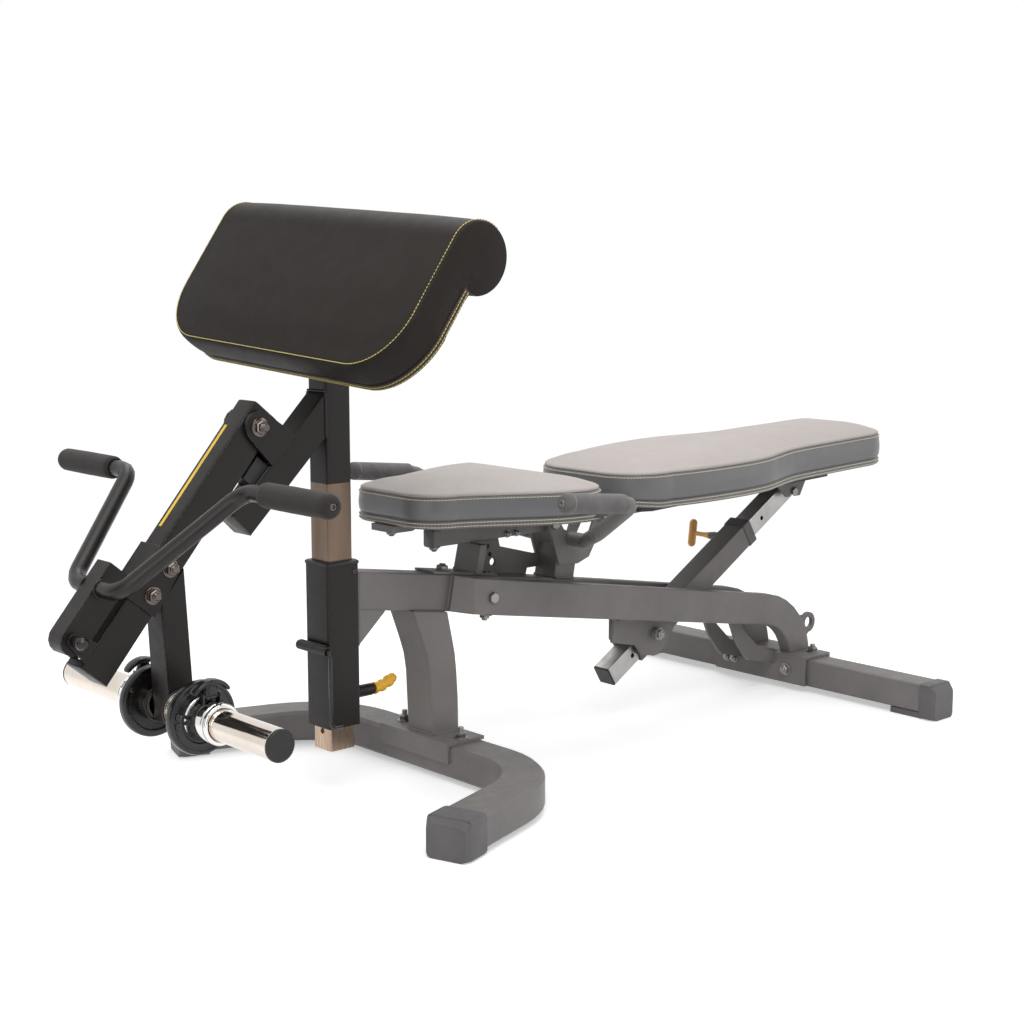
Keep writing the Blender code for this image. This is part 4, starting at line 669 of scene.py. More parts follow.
def plan(front, rear, widths, front_corner, rear_corner):
    """Closed outline of a cushion, seen from above: half widths at stations along X."""
    w0, w1 = widths[0][1], widths[-1][1]
    side = [(front, 0.0), (front, (w0 - front_corner) * 0.5)]
    side += arc((front + front_corner, w0 - front_corner), front_corner, 180, 90, 14)
    side += spline([side[-1], *widths[1:-1], (rear - rear_corner, w1)], 10)[1:-1]
    side += arc((rear - rear_corner, w1 - rear_corner), rear_corner, 90, 0, 14)
    side += [(rear, (w1 - rear_corner) * 0.5), (rear, 0.0)]
    return side + [(x, -y) for x, y in side[-2:0:-1]]


def spline(points, steps):
    """Catmull-Rom curve through points."""
    pts = [points[0], *points, points[-1]]
    made = [points[0]]
    for a, b, c, d in zip(pts, pts[1:], pts[2:], pts[3:]):
        for k in range(1, steps + 1):
            t = k / steps
            made.append(tuple(0.5 * (2 * q + (r - p) * t + (2 * p - 5 * q + 4 * r - s) * t * t
                                     + (3 * q - p - 3 * r + s) * t**3) for p, q, r, s in zip(a, b, c, d)))
    return made


def seat_and_back():
    """The two cushions of the bench."""
    seat_widths = ((0.181, 0.115), (0.22, 0.13), (0.27, 0.153), (0.32, 0.176), (0.36, 0.19), (0.405, 0.196))
    back_widths = ((0.657, 0.153), (0.72, 0.165), (0.79, 0.176), (0.866, 0.181), (0.93, 0.175), (0.98, 0.16),
                   (1.03, 0.145), (1.08, 0.137), (1.22, 0.134), (1.351, 0.133))
    cushion("seat_cushion", "seat_pad", plan(0.115, 0.489, seat_widths, 0.066, 0.084), 0.0565, 0.025,
            lambda x, t: 0.5075 - 0.015 * (x - 0.16) + t, "seat", 0.14)
    cushion("back_cushion", "back_pad", plan(0.58, 1.407, back_widths, 0.096, 0.092), 0.066, 0.026,
            lambda x, t: 0.517 + 0.034 * (x - 0.9) + t + front_lift(x, t), "back", 0.13)


def front_lift(x, t):
    """Lifts the back cushion's lower front edge, which passes close to the post when the back is upright."""
    return 0.0045 * (1 - smooth_step((x - 0.6) / 0.06)) * smooth_step((-0.03 - t) / 0.025)


# Preacher pad

PAD_HALF, PAD_CORNER, PAD_CROWN = 0.318, 0.105, 0.006
ROLL_CENTRE, ROLL_RADIUS = (0.2385, -0.0573), 0.0577
PAD_SLOPE, PAD_LEAN, LEAN_HEIGHT = radians(56.8), radians(3.5), 0.81
SEAM_HEIGHT = -0.0572
NOTCH = (0.19, -0.06)  # where the cover folds in behind the roll


def pad_matrix():
    """Pad plan (s up the slope, y, t out of the face) to the row frame."""
    c, t = cos(PAD_SLOPE), sin(PAD_SLOPE)
    base = Matrix(((c, 0, -t, -0.1305), (0, 1, 0, 0), (t, 0, c, 0.7567), (0, 0, 0, 1)))
    pivot = Matrix.Translation((0, 0, LEAN_HEIGHT))
    tilt = pivot @ Matrix.Rotation(PAD_LEAN, 4, "X") @ pivot.inverted()
    return Matrix.Translation((-SHIFT, 0, 0)) @ tilt @ base


def pad_front(y):
    """How far the rounded corner sets the pad's lower edge back at y."""
    reach = abs(y) - (PAD_HALF - PAD_CORNER)
    return PAD_CORNER - sqrt(max(0.0, PAD_CORNER**2 - reach**2)) if reach > 0 else 0.0


# Front of the preacher pad, from the base up: (in front of the edge, height below the face)
PAD_SIDE = mm((-13, -69.6), (-4, -70.8), (-1.2, -70.8), (0.4, -70), (1.1, -68.4), (1.1, -65.2), (0.4, -64),
              (0.4, -63), (1, -61.6), (0.8, -59.4), (-0.4, -58.2), (-4.2, -57.2), (-1.6, -55.6), (0.4, -52),
              (1.6, -46), (2.4, -39), (2.6, -31), (2.4, -23), (1.7, -15), (0.6, -8.5), (-0.6, -5),
              (-2.2, -2.2), (-4, -0.6), (-5.6, -0.6), (-6.6, -1.1), (-7.8, -0.3), (-10, 0.4))


def pad_section(front, crown, inset=0.0):
    """Closed (s, t) outline, drawn in by inset where the ends round off."""
    cs, ct = ROLL_CENTRE
    points = [(front - out + inset, min(t, -inset)) for out, t in PAD_SIDE]
    start = front + 0.01 + inset
    count = 26
    for k in range(1, count):
        f = k / count
        lift = crown * smooth_step(f * 4.0) * (1 - 0.6 * smooth_step(f * 2.0 - 1.0)) + 0.0006 * sin(pi * f)
        points.append((start + (cs - start) * f, 0.0004 + lift - inset))
    points += arc((cs, ct), ROLL_RADIUS + crown * 0.4 - inset, 90, -146, 44)
    notch = points[-1]
    tail = mm((187.6, -70.5), (186.8, -66), (185.6, -66.2), (185, -69.5), (183.6, -70.8), (178, -70.8),
              (170, -69.6))
    points.append(tuple((notch[n] + tail[0][n]) / 2 for n in (0, 1)))
    points += tail
    last, first = points[-1], points[0]
    points += [(last[0] + (first[0] - last[0]) * k / 16, -0.0696) for k in range(1, 16)]
    return points


def preacher_pad():
    """Arm pad: one section drawn from side to side, with bulged ends."""
    place = pad_matrix()
    half = [0.0]
    while half[-1] < PAD_HALF - 0.016:
        half.append(half[-1] + (0.0075 if half[-1] < 0.2 else 0.0045))
    turn = [radians(a) for a in (0, 18, 36, 54, 72, 86)]
    ends = [(PAD_HALF - 0.01, 0.0)]
    ends += [(PAD_HALF - 0.005 + 0.005 * sin(a), 0.005 * (1 - cos(a))) for a in turn]
    stations = [(y, 0.0) for y in half if y < PAD_HALF - 0.012] + ends
    stations = [(-y, inset) for y, inset in stations[:0:-1]] + stations
    bm = bmesh.new()
    rows = []
    for y, inset in stations:
        crown = PAD_CROWN * (1 - (abs(y) / PAD_HALF) ** 4)
        section = pad_section(pad_front(min(abs(y), PAD_HALF - 0.0008)), crown, inset)
        ring = []
        for s, t in section:
            soft = 0.0007 * noise.noise(Vector((s * 10, y * 10, t * 12))) if -0.05 < t else 0.0
            ring.append(bm.verts.new(place @ Vector((s, y, t + soft * (s > 0.02)))))
        rows.append(ring)
    ring_faces(bm, rows)
    for index, sign in ((0, -1), (-1, 1)):
        y, inset = stations[index]
        front = pad_front(PAD_HALF - 0.0008)
        flat = pad_section(front, PAD_CROWN * 0.02, inset)

        def bulged(s, t, d, y=y, sign=sign):
            over = max(0.0, t - SEAM_HEIGHT) if s < 0.186 else d
            swell = 0.0034 * (1 - (1 - min(1.0, min(d, over) / 0.032)) ** 2)
            groove = 0.005 * hill(t, SEAM_HEIGHT, 0.0022) * (s < 0.187)
            reach = hypot(s - NOTCH[0], t - NOTCH[1])
            fold = 0.0011 * cos(6 * atan2(t - NOTCH[1], s - NOTCH[0]) + 0.6) * hill(reach, 0.011, 0.015)
            return place @ Vector((s, y + sign * (swell + fold - groove), t))

        seam = [(front + 0.008 + 0.004 * k, t) for k in range(60) for t in (-0.0548, SEAM_HEIGHT, -0.0596)]
        fill_panel(bm, rows[index], flat, bulged, 0.005, [p for p in seam if p[0] < 0.184])
    bmesh.ops.recalc_face_normals(bm, faces=bm.faces)
    back = place.inverted()
    for f in bm.faces:
        local = back @ f.calc_center_median()
        f.material_index = 1 if local.z < -0.058 and local.x < 0.187 else 0
    made = mesh_object("preacher_cushion", bm, "mast", "black_vinyl", 0, ("arm_pad",), "black_vinyl")
    made.data.materials.append(M["strip_vinyl"])
    pad_stitches(place)


def pad_line(inset, end):
    """Outline of the pad in plan from one side to the other: (s, y, outward direction)."""
    side, corner = PAD_HALF - inset, PAD_CORNER - inset
    middle = PAD_HALF - PAD_CORNER
    line = [(s, -side, (0.0, -1.0)) for s in (end, (end + PAD_CORNER) / 2)]
    for k in range(19):
        turn = radians(90 * k / 18)
        line.append((PAD_CORNER - corner * sin(turn), -middle - corner * cos(turn), (-sin(turn), -cos(turn))))
    line += [(inset, middle * f, (-1.0, 0.0)) for f in (-0.5, 0.0)]
    return line + [(s, -y, (a, -b)) for s, y, (a, b) in line[-2::-1]]


def pad_stitches(place):
    """Two rows on the pad's strip, and one along its face and round the roll's ends."""
    turn = place.to_3x3()
    rows = []
    for t in (-0.0606, -0.0668):
        line = pad_line(-0.0015, 0.184)
        points = [place @ Vector((s, y, t)) for s, y, _ in line]
        rows.append((points, [(turn @ Vector((a, b, 0))).normalized() for _, _, (a, b) in line], False))
    cs, ct = ROLL_CENTRE
    line = pad_line(0.0052, cs)
    face = [(Vector((s, y, 0.0008)), Vector((a * 0.3, b * 0.3, 1))) for s, y, (a, b) in line]
    around = arc((cs, ct), ROLL_RADIUS + 0.0006, 84, -8, 16)
    side = PAD_HALF - 0.0052
    for sign in (-1, 1):
        end = [(Vector((s, sign * side, t)), Vector((s - cs, sign * 0.02, t - ct))) for s, t in around]
        face = end[::-1] + face if sign < 0 else face + end
    points = [place @ p for p, _ in face]
    rows.append((points, [(turn @ out).normalized() for _, out in face], False))
    stitches("preacher_stitching", rows, "mast", "thread")


seat_and_back()
preacher_pad()


# Bolts, plugs, welds and grips

BOTH = (-1, 1)
BEAM_SLOPE, RAIL_SLOPE = 0.1508, 0.1705
ARM_PIVOT, ARM_TURN = (-0.16, 0.641), radians(50)
HORN_AXIS = (-0.318, 0.209)
CURL_GRIP_AXIS = (-0.2785, 0.563)
STRUT_FOOT, STRUT_TOP, STRUT_OFFSET = (0.76, 0.17), (1.183, 0.413), 0.0101


def beam_top(x):
    """Height of the front beam's top face."""
    return 0.388 - BEAM_SLOPE * x


def rail_bottom(x):
    """Height of the rails' lower face, ahead of their bend."""
    return 0.3935 - RAIL_SLOPE * x - 0.065 * sqrt(1 + RAIL_SLOPE**2)


def arm_point(u, n):
    """Bench (x, z) of a point u up the lever arm from its pivot and n in front of its axis."""
    c, t = cos(ARM_TURN), sin(ARM_TURN)
    return ARM_PIVOT[0] + u * c - n * t, ARM_PIVOT[1] + u * t + n * c


def nuts(name, body, finish, places):
    """Washers, chamfered hexagon nuts and threaded bolt ends: (point, direction, radius, height, stub)."""
    bm = bmesh.new()
    low, pitch = 0.0016, 0.0014
    for point, direction, radius, height, stub in places:
        point, wide, core = at(*point), radius * 1.28, radius * 0.5
        lathe(bm, point, direction, ((0.0001, wide), (0.0012, wide), (0.0017, radius * 1.22)), 28)
        sides = ((low, radius * 0.94), (low + 0.0008, radius), (height - radius * 0.14, radius),
                 (height, radius * 0.84))
        lathe(bm, point, direction, sides, 6)
        ridges = [(height - 0.001, core)]
        for k in range(int(stub / pitch)):
            ridge = height + (k + 0.25) * pitch
            ridges += [(ridge, core + 0.0004), (height + (k + 0.75) * pitch, core - 0.0003)]
        lathe(bm, point, direction, [*ridges, (height + stub, core - 0.0006)], 18)
    mesh_object(name, bm, body, finish)


def buttons(name, body, finish, places):
    """Button-head screws with a socket: (point, direction, radius)."""
    bm = bmesh.new()
    for point, direction, r in places:
        head = ((0.0002, r), (0.0008, r), (0.0022, r * 0.78), (0.0026, r * 0.52), (0.001, r * 0.46),
                (0.0009, 0.0))
        lathe(bm, point, direction, head, 24)
    mesh_object(name, bm, body, finish)


def hardware():
    """Nuts and screws that the CAD nodes leave out."""
    up, down = (0, 0, 1), (0, 0, -1)
    places = [((0.2165, y, 0.0706), up, 0.01, 0.011, 0.009) for y in (-0.0785, 0.0785)]
    places += [((1.188, y, 0.0754), up, 0.0105, 0.01, 0.006) for y in (-0.094, 0.094)]
    for y, radius in ((-0.071, 0.0105), (0.069, 0.008), (0.0885, 0.008)):
        places.append(((1.1268, y, 0.043), (-1, 0, 0), radius, 0.009, 0.003))
    for y in (-0.055, 0.055):
        places.append(((0.294, y, rail_bottom(0.294)), (-RAIL_SLOPE, 0, -1), 0.01, 0.007, 0.004))
    places.append(((0.241, 0, beam_top(0.241) + 0.005), (BEAM_SLOPE, 0, 1), 0.0115, 0.009, 0.003))
    foot_x, foot_z = STRUT_FOOT
    places += [((foot_x, sign * 0.0471, foot_z), (0, sign, 0), 0.0098, 0.0075, 0.003) for sign in BOTH]
    nuts("frame_nuts", "frame", "grey_steel", places)
    places = []
    for u in (-0.266, -0.316):
        x, z = arm_point(u, -0.006)
        places += [((x, sign * 0.0283, z), (0, sign, 0), 0.0112, 0.0105, 0.005) for sign in BOTH]
    nuts("saddle_nuts", "lever", "lever_steel", places)
    x, z = ARM_PIVOT
    nuts("pivot_nut", "mast", "lever_steel", [((x, -0.0326, z), (0, -1, 0), 0.0122, 0.0105, 0.009)])
    places = [((x, -0.0132, 0.4075), (0, -1, 0), 0.0056, 0.0068, 0.003) for x in (0.385, 0.407)]
    places.append(((0.223, 0, 0.401), down, 0.009, 0.006, 0.003))
    places.append(((0.128, 0, 0.4402), down, 0.0095, 0.0068, 0.003))
    nuts("seat_nuts", "seat", "grey_steel", places)
    buttons("sleeve_screw", "frame", "bolt_steel", [(at(0.0225, -0.0325, 0.386), (0, -1, 0), 0.0042)])
    x, z = arm_point(-0.452, 0.0285)
    buttons("arm_screw", "lever", "chrome", [(at(x, -0.006, z), (-sin(ARM_TURN), 0, cos(ARM_TURN)), 0.0042)])
    places = []
    for x, y in ((0.3275, -0.019), (0.3395, 0.01), (0.3395, -0.019)):
        places.append((at(x, y, beam_top(x) + 0.0051), (BEAM_SLOPE, 0, 1), 0.0045))
    buttons("bracket_screws", "frame", "grey_steel", places)


def plug(name, body, finish, places, half_a, half_b, tall=0.0022):
    """Moulded end plugs of a square tube, each lip proud of the tube's end: (centre, direction)."""
    corner_radius = 0.004
    bm = bmesh.new()
    a = Vector((0, 1, 0))
    for centre, out in places:
        out = Vector(out).normalized()
        b = out.cross(a)
        rings = []
        for reach, inset in ((-0.006, 0.0045), (0.0003, 0.004), (0.0003, -0.0004), (tall * 0.6, -0.0004),
                             (tall, 0.0012)):
            ring = []
            for corner, (sa, sb) in enumerate(((1, 1), (-1, 1), (-1, -1), (1, -1))):
                r = max(0.0008, corner_radius - inset)
                middle = centre + out * reach + a * sa * (half_a - inset - r) + b * sb * (half_b - inset - r)
                for k in range(5):
                    turn = (corner + k / 4) * pi / 2
                    ring.append(middle + (a * cos(turn) + b * sin(turn)) * r)
            rings.append(ring)
        skin(bm, rings)
    mesh_object(name, bm, body, finish)


def plugs():
    """Plugs of the seat tube, the brace, the arm and both ends of the strut."""
    plug("seat_tube_plug", "seat", "grey_cap", [(at(0.212, 0, 0.4165), (-1, 0, 0))], 0.0132, 0.0155)
    low, high = Vector((-0.174, 0, 0.468)), Vector((-0.209, 0, 0.503))
    out = (-0.209 + 0.0253, 0, 0.503 - 0.6888)
    plug("brace_plug", "mast", "brown_plug", [(at(*(low + high) / 2), out)], 0.025, (high - low).length / 2)
    x, z = arm_point(-0.466, 0.0)
    plug("arm_plug", "lever", "plastic", [(at(x, 0, z), (-cos(ARM_TURN), 0, -sin(ARM_TURN)))], 0.025, 0.028)
    dx, dz = STRUT_TOP[0] - STRUT_FOOT[0], STRUT_TOP[1] - STRUT_FOOT[1]
    run = sqrt(hypot(dx, dz)**2 - STRUT_OFFSET**2)
    turn = atan2(dz, dx) - atan2(-STRUT_OFFSET, run)
    c, t = cos(turn), sin(turn)
    places = []
    for along, sign in ((-0.128, -1), (run + 0.012, 1)):
        x = STRUT_FOOT[0] + along * c + STRUT_OFFSET * t
        z = STRUT_FOOT[1] + along * t - STRUT_OFFSET * c
        places.append((at(x, 0, z), (sign * c, 0, sign * t)))
    plug("strut_plugs", "strut_inner", "plastic", places, 0.02, 0.02, 0.0035)


def bead(bm, points, radius=0.0022, closed=False):
    """Weld bead along bench points."""
    path = dense([at(*p) for p in points], 0.0012, closed)
    sweep(bm, path, radius, 8, closed, 0.16, 0.0034)


def ring_bead(bm, centre, direction, size, radius):
    """Round weld bead."""
    _, a, b = axes(direction)
    bead(bm, circle(Vector(centre), a, b, size, 48), radius, True)


def bead_pair(bm, y, start, end, radius=0.0022):
    """Straight beads at y and -y, between (x, z) ends."""
    for side in (-y, y):
        bead(bm, [(x, side, z) for x, z in (start, end)], radius)


def ring_pair(bm, x, y, z, size, radius):
    """Round beads at y and -y."""
    for side in (-y, y):
        ring_bead(bm, (x, side, z), (0, 1, 0), size, radius)


def welds():
    """Weld beads on each welded body."""
    bm = bmesh.new()
    bead_pair(bm, 0.0275, (0.0335, 0.2565), (0.0335, 0.3825))
    bead_pair(bm, 0.036, (0.1885, 0.0712), (0.2495, 0.0712))
    for x in (0.188, 0.25):
        bead(bm, ((x, -0.035, 0.0712), (x, 0.035, 0.0712)))
    for y, x0, x1, rise in ((0.0282, 0.152, 0.222, -0.0668), (0.0282, 0.492, 0.541, 0.0012),
                            (0.0295, 0.2935, 0.3105, 0.006)):
        bead_pair(bm, y, (x0, beam_top(x0) + rise), (x1, beam_top(x1) + rise))
    bead_pair(bm, 0.04, (0.985, rail_bottom(0.985) - 0.001), (1.018, rail_bottom(1.018) - 0.001))
    for sign in BOTH:
        bead(bm, ((1.074, sign * 0.0365, 0.0955), (1.1265, sign * 0.04, 0.08)))
    ring_pair(bm, 0.528, 0.029, 0.385, 0.014, 0.002)
    mesh_object("grey_welds", bm, "frame", "weld_grey", 60)
    bm = bmesh.new()
    bead(bm, ((-0.0405, -0.034, 0.2672), (-0.0405, 0.034, 0.2672)), 0.0016)
    ring_bead(bm, (0.033, 0, 0.168), (1, 0, 0), 0.0108, 0.0016)
    mesh_object("sleeve_welds", bm, "frame", "weld_black", 60)
    bm = bmesh.new()
    bead_pair(bm, 0.0255, (-0.0258, 0.615), (-0.0258, 0.687))
    bead(bm, ((-0.0258, -0.024, 0.6895), (-0.0258, 0.024, 0.6895)))
    bead_pair(bm, 0.0262, (-0.1945, 0.519), (-0.14, 0.575), 0.0012)
    mesh_object("brace_welds", bm, "mast", "weld_black", 60)
    bm = bmesh.new()
    ring_pair(bm, -0.44, 0.0202, 0.415, 0.014, 0.0019)
    mesh_object("carrier_welds", bm, "carrier", "weld_black", 60)
    bm = bmesh.new()
    ring_pair(bm, HORN_AXIS[0], 0.0262, HORN_AXIS[1], 0.0288, 0.002)
    mesh_object("horn_welds", bm, "lever", "weld_black", 60)


def socket(bm, point, direction, radius):
    """Cap screw with a hexagon socket."""
    along, a, b = axes(direction)
    height, hexagon = 0.003, radius * 0.5
    rings = []
    for reach, size in ((0.0, radius * 0.96), (0.0003, radius), (height - 0.0006, radius),
                        (height, radius * 0.9), (height, hexagon), (height - 0.0022, hexagon)):
        ring = []
        for k in range(36):
            turn = pi * k / 18
            out = size / cos((turn % (pi / 3)) - pi / 6) if size == hexagon else size
            ring.append(point + along * reach + (a * cos(turn) + b * sin(turn)) * out)
        rings.append(ring)
    skin(bm, rings)


def turned(name, body, finish, *form, **kind):
    """A piece that is one solid of revolution. form is what lathe takes."""
    bm = bmesh.new()
    lathe(bm, *form)
    return mesh_object(name, bm, body, finish, **kind)


def foam_grip(name, node, body, finish, *form):
    """A soft sleeve in place of a CAD grip."""
    made = turned(name, body, finish, *form, smooth=50, covers=(node,), slot="foam")


def curl_grips():
    """Foam sleeves with a domed end and a socket screw."""
    inner, radius, start, end = 0.0138, 0.019, 0.212, 0.386
    neck = mm((4, 13.8), (3.6, 16), (5.2, 17.2), (6.2, 16.6), (7.8, 18), (11, 19))
    tip = mm((0.2, 7.2), (-0.6, 6.6), (-3.4, 6.4), (-3.6, 0))
    count = 26
    x, z = CURL_GRIP_AXIS
    for name, sign in (("near", -1), ("far", 1)):
        profile = [(end - 0.0055, 0.0), (end - 0.0055, inner)]
        profile += [(start + reach, size) for reach, size in neck]
        for k in range(1, count):
            f = k / count
            swell = 0.0004 * sin(pi * f) + 0.00018 * noise.noise(Vector((f * 9, sign, 3.3)))
            profile.append((start + 0.011 + (end - start - 0.024) * f, radius + swell))
        for a in range(0, 86, 12):
            turn = radians(a)
            profile.append((end - 0.013 + 0.013 * sin(turn), radius - 0.0095 + 0.0095 * cos(turn)))
        profile += [(end + reach, size) for reach, size in tip]
        place, aim = at(x, 0, z), (0, sign, 0)
        foam_grip("grip_" + name, "handle_grip_" + name, "carrier", "foam", place, aim, profile, 56)
        bm = bmesh.new()
        socket(bm, at(x, sign * (end - 0.0034), z), aim, 0.0058)
        mesh_object("grip_screw_" + name, bm, "carrier", "bolt_steel")


def seat_grips():
    """Plainer sleeves on the side handles, each with a screw and a ring at its end."""
    radius, round_off = 0.0171, 0.0095
    profile = mm((-0.8, 0), (-0.8, 13.8), (140.5, 13.8), (140.5, 15.8), (138.5, 16.8), (136.5, 17.1))
    for k in range(1, 20):
        f = 1 - k / 20
        profile.append((0.005 + 0.13 * f, radius + 0.0002 * sin(pi * f)))
    for a in range(0, 86, 14):
        turn = radians(a)
        profile.append((0.005 - 0.01 * sin(turn), radius - round_off + round_off * cos(turn)))
    profile.append((-0.005, 0.0))
    for name, sign in (("near", -1), ("far", 1)):
        tip, bend = at(0.262, sign * 0.29, 0.505), at(0.428, sign * 0.29, 0.488)
        foam_grip("seat_grip_" + name, "side_grip_" + name, "frame", "grey_foam",
                  tip, bend - tip, profile, 48)
        bm = bmesh.new()
        back = (bend - tip).normalized()
        socket(bm, tip - back * 0.0042, -back, 0.0062)
        lathe(bm, tip + back * 0.011, back, mm((0, 16.8), (0.2, 17.4), (1.2, 17.4), (1.4, 16.8)), 40)
        mesh_object("seat_grip_screw_" + name, bm, "frame", "grey_steel")


def stripe():
    """Plain film stripe along the arm's front face."""
    bm = bmesh.new()
    rings = []
    for n in (0.02805, 0.02825):
        ring = []
        for u, y in ((-0.215, 0.0075), (-0.215, 0.015), (-0.02, 0.015), (-0.02, 0.0075)):
            x, z = arm_point(u, n)
            ring.append(at(x, y, z))
        rings.append(ring)
    skin(bm, rings)
    mesh_object("arm_stripe", bm, "lever", "yellow_film")


# Collars. Discs and bosses: (along the horn, radius)
DISC = mm((3, 25.5), (3, 45.5), (0, 47.5), (0, 54), (1, 56.7), (3.5, 58.2), (6, 58.5), (12, 58.5),
          (15, 58.1), (17.6, 56.7), (19, 54.1), (19, 52.3), (17.8, 51.3), (17.6, 50.3), (18.4, 49.3),
          (18.4, 42.5), (19, 41.5), (19, 40), (16, 38), (16, 25.5))
BOSS = mm((16.3, 25.5), (16.3, 35), (18, 35.2), (20, 33.6), (24, 32.4), (30, 32), (56, 31.8), (58.5, 31.2),
          (60, 30), (62, 30), (63.2, 31.4), (65, 32.2), (69, 32.2), (70.8, 31.4), (71.8, 29.8), (72, 27.6),
          (70, 25.5))
# Stem of a thumb lever: (height over its pin, half width along X, half width along the horn)
LEVER_STEM = mm((-5.8, 6, 3), (-4.6, 10, 5), (-2, 12, 6.8), (6, 11.8, 7), (12, 9.6, 6.4), (16.5, 9.8, 7),
                (20, 13, 8.6))


def pill(centre, a, b, half_a, half_b, count=24):
    """Rounded rectangle, nearly an ellipse with full corners."""
    a, b, ring = Vector(a), Vector(b), []
    for k in range(count):
        turn = 2 * pi * (k + 0.5) / count
        c, t = cos(turn), sin(turn)
        full = (abs(c) ** 3.2 + abs(t) ** 3.2) ** (-1 / 3.2)
        ring.append(centre + (a * c * half_a + b * t * half_b) * full)
    return ring


def collar(name, side, base):
    """Moulded disc with a stepped rim and screws, and its boss with the lugs and pin of the lever."""
    body, (x, z) = "collar_" + name, HORN_AXIS
    place, out = at(x, side * base, z), (0, side, 0)
    turned("disc_" + name, body, "gloss_plastic", place, out, DISC, 96, True, smooth=30,
           covers=("collar_disc_" + name,))
    turned("boss_" + name, body, "chrome", place, out, BOSS, 80, True, covers=("collar_boss_" + name,))
    bm = bmesh.new()
    outer, inner = (0.0182, 1, 0.0056, 0.046), (0.0002, -1, 0.004, 0.0508)
    for degrees, kind in ((168, outer), (186, outer), (348, outer), (150, inner), (330, inner)):
        reach, face, size, from_axis = kind
        turn = radians(degrees)
        place = at(x + from_axis * cos(turn), side * (base + reach), z + from_axis * sin(turn))
        dome = [(0.0, size), (0.001, size)]
        dome += [(0.001 + size * 0.64 * sin(radians(a)), size * cos(radians(a))) for a in range(10, 91, 16)]
        lathe(bm, place, (0, side * face, 0), dome, 28)
    mesh_object("disc_screws_" + name, bm, body, "gloss_plastic", 40)
    pivot = at(x, side * (base + 0.038), z + 0.04)
    pin = mm((0, 3.4), (0.6, 4), (25.4, 4), (26, 3.4))
    turned("thumb_pin_" + name, body, "bolt_steel", pivot - Vector((0.013, 0, 0)), (1, 0, 0), pin, 20)
    bm = bmesh.new()
    for offset in (-0.0144, 0.0144):
        ends = Vector((offset, 0, -0.013)), Vector((offset, 0, 0.0044))
        skin(bm, [pill(pivot + end, (1, 0, 0), (0, 1, 0), 0.0018, 0.0064) for end in ends])
    mesh_object("thumb_lugs_" + name, bm, body, "gloss_plastic")
    thumb_lever(name, pivot)


def thumb_lever(name, pivot):
    """Lever with a curved head, like a mushroom's."""
    bm = bmesh.new()
    skin(bm, [pill(pivot + Vector((0, 0, rise)), (1, 0, 0), (0, 1, 0), half_x, half_y)
              for rise, half_x, half_y in LEVER_STEM])
    hub = pivot - Vector((0, 0, 0.014))
    rings = []
    for k in range(25):
        f = k / 12 - 1
        turn = radians(90 - 58 * f)
        out = Vector((cos(turn), 0, sin(turn)))
        thin, narrow = (1, 1) if abs(f) < 0.99 else (0.5, 0.8)
        thin *= 0.0042 * (1 - 0.35 * abs(f) ** 3)
        narrow *= 0.01 * (1 - 0.22 * f**4)
        rings.append(pill(hub + out * (0.0358 + 0.0006 * f * f), out, (0, 1, 0), thin, narrow))
    skin(bm, rings)
    mesh_object("mushroom_lever_" + name, bm, "thumb_" + name, "gloss_plastic", 50, ("thumb_lever_" + name,))


hardware()
collar("near", -1, 0.08)
collar("far", 1, 0.0405)
plugs()
welds()
curl_grips()
seat_grips()
stripe()


# Camera, light and floor

# Solved from the photo: place in bench coordinates, turn from +Y towards +X, and dip
CAMERA_PLACE, CAMERA_AIM = (-1.697, -2.3117, 0.9154), (radians(42.34), radians(8.58))
FOCAL_LENGTH = 60.66

def camera():
    """The camera that the photo was matched to."""
    data = bpy.data.cameras.new("camera")
    data.lens, data.sensor_width = FOCAL_LENGTH, 36.0
    made = bpy.data.objects.new("camera", data)
    bpy.context.scene.collection.objects.link(made)
    turn, pitch = CAMERA_AIM
    ahead = Vector((sin(turn) * cos(pitch), cos(turn) * cos(pitch), -sin(pitch)))
    right = Vector((cos(turn), -sin(turn), 0))
    up = right.cross(ahead)
    place = at(*CAMERA_PLACE)
    made.matrix_world = Matrix((
        (right.x, up.x, -ahead.x, place.x),
        (right.y, up.y, -ahead.y, place.y),
        (right.z, up.z, -ahead.z, place.z),
        (0, 0, 0, 1),
    ))
    bpy.context.scene.camera = made


def lamp(name, place, target, size, power):
    """A rectangular lamp aimed at a target."""
    data = bpy.data.lights.new(name, "AREA")
    data.shape, data.size, data.size_y, data.energy = "RECTANGLE", size[0], size[1], power
    made = bpy.data.objects.new(name, data)
    made.location = place
    made.rotation_euler = (Vector(target) - Vector(place)).to_track_quat("-Z", "Y").to_euler()
    bpy.context.scene.collection.objects.link(made)


def sheet(name, corners, shade):
    """A four-cornered sheet."""
    mesh = bpy.data.meshes.new(name)
    mesh.from_pydata(corners, [], [(0, 1, 2, 3)])
    mesh.materials.append(shade.material)
    made = bpy.data.objects.new(name, mesh)
    bpy.context.scene.collection.objects.link(made)
    return made


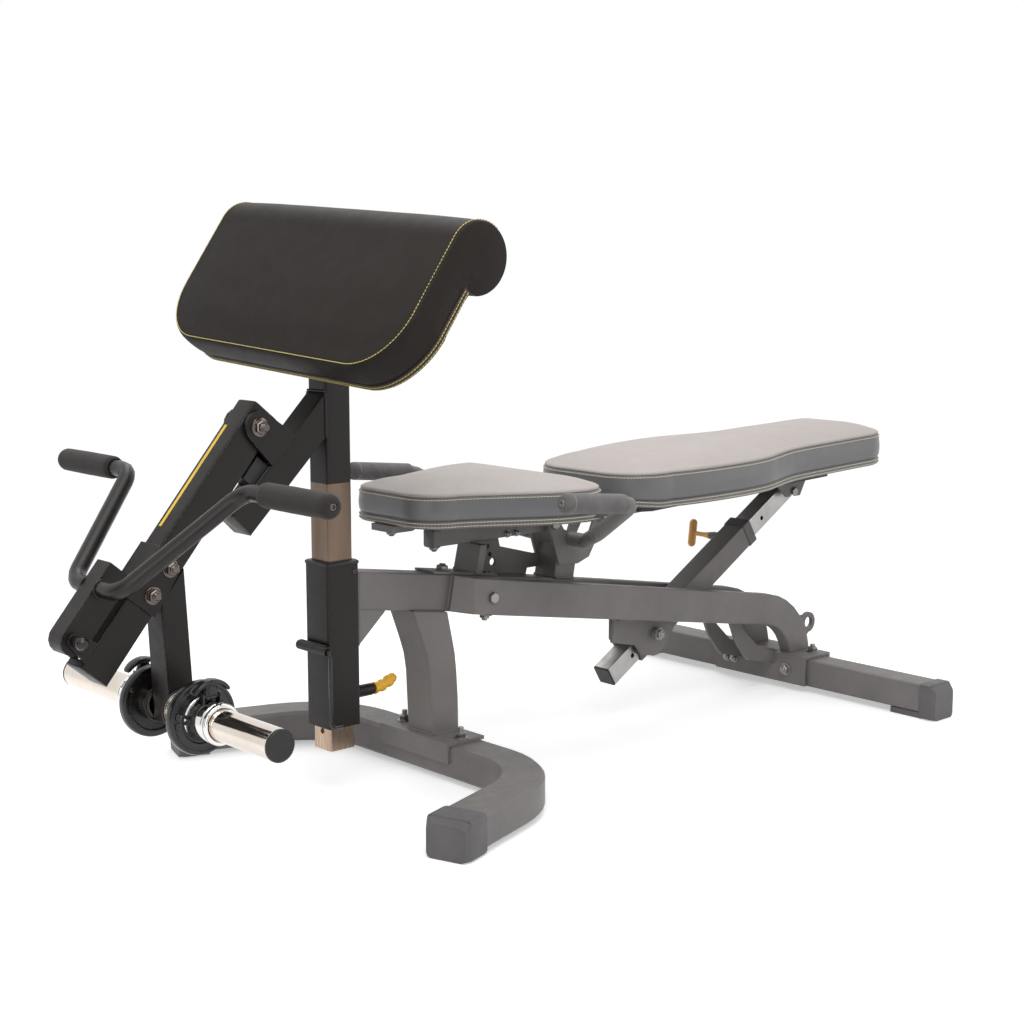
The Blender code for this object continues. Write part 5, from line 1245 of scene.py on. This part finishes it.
def card(name, corners):
    """A dark card that only reflections see."""
    made = sheet(name, corners, Shade(name, Base_Color=(0.02, 0.019, 0.018, 1), Roughness=0.9))
    made.visible_camera = made.visible_diffuse = made.visible_shadow = False


def white_floor():
    """Floor that fades into the background: it takes shadows near the bench and shines white further out."""
    reach, low = 14.0, -0.0006
    shade = Shade("floor_white", Roughness=0.9, Specular_IOR_Level=0.1, Emission_Color=(1, 1, 1, 1))
    length = shade.vectors("LENGTH", shade.place)["Value"]
    spread = shade.add("ShaderNodeMapRange", {"interpolation_type": "SMOOTHSTEP"}, Value=length, From_Min=1.0,
                       From_Max=2.6).outputs[0]
    shade.set("Base Color", shade.mix(spread, (0.86, 0.86, 0.86), (0.0, 0.0, 0.0)))
    level = shade.span(spread, 0.0, 1.0, 0.42, 1.0)
    shade.set("Emission Strength", shade.maths("MULTIPLY", shade.sees_white(), level))
    corners = [(x * reach, y * reach, low) for x, y in ((-1, -1), (1, -1), (1, 1), (-1, 1))]
    floor = sheet("floor", corners, shade)


def studio():
    """White background, floor, lamps and dark cards."""
    scene = bpy.context.scene
    scene.view_settings.view_transform = "Standard"
    scene.world = bpy.data.worlds.new("studio")
    scene.world.use_nodes = True
    graph = Graph(scene.world.node_tree)
    white = graph.mix(graph.sees_white(), (0.46, 0.46, 0.47), (1, 1, 1))
    graph.feed(graph.tree.nodes["Background"].inputs["Color"], white)
    white_floor()
    lamp("key", (-1.2, -1.4, 3.2), (0.0, 0.0, 0.3), (2.6, 2.6), 62)
    lamp("top", (0.9, 1.0, 3.0), (0.1, 0.0, 0.3), (2.4, 2.4), 40)
    lamp("front", (-2.9, -1.5, 1.0), (0.0, 0.0, 0.35), (0.4, 1.7), 8)
    lamp("side", (2.6, -2.6, 1.4), (0.1, 0.0, 0.4), (1.2, 2.0), 14)
    card("flag_front", ((-3.2, -3.4, 0.0), (-1.6, -4.6, 0.0), (-1.6, -4.6, 2.4), (-3.2, -3.4, 2.4)))
    card("flag_left", ((-4.2, 0.4, 0.0), (-4.2, 1.8, 0.0), (-4.2, 1.8, 2.6), (-4.2, 0.4, 2.6)))


camera()
studio()
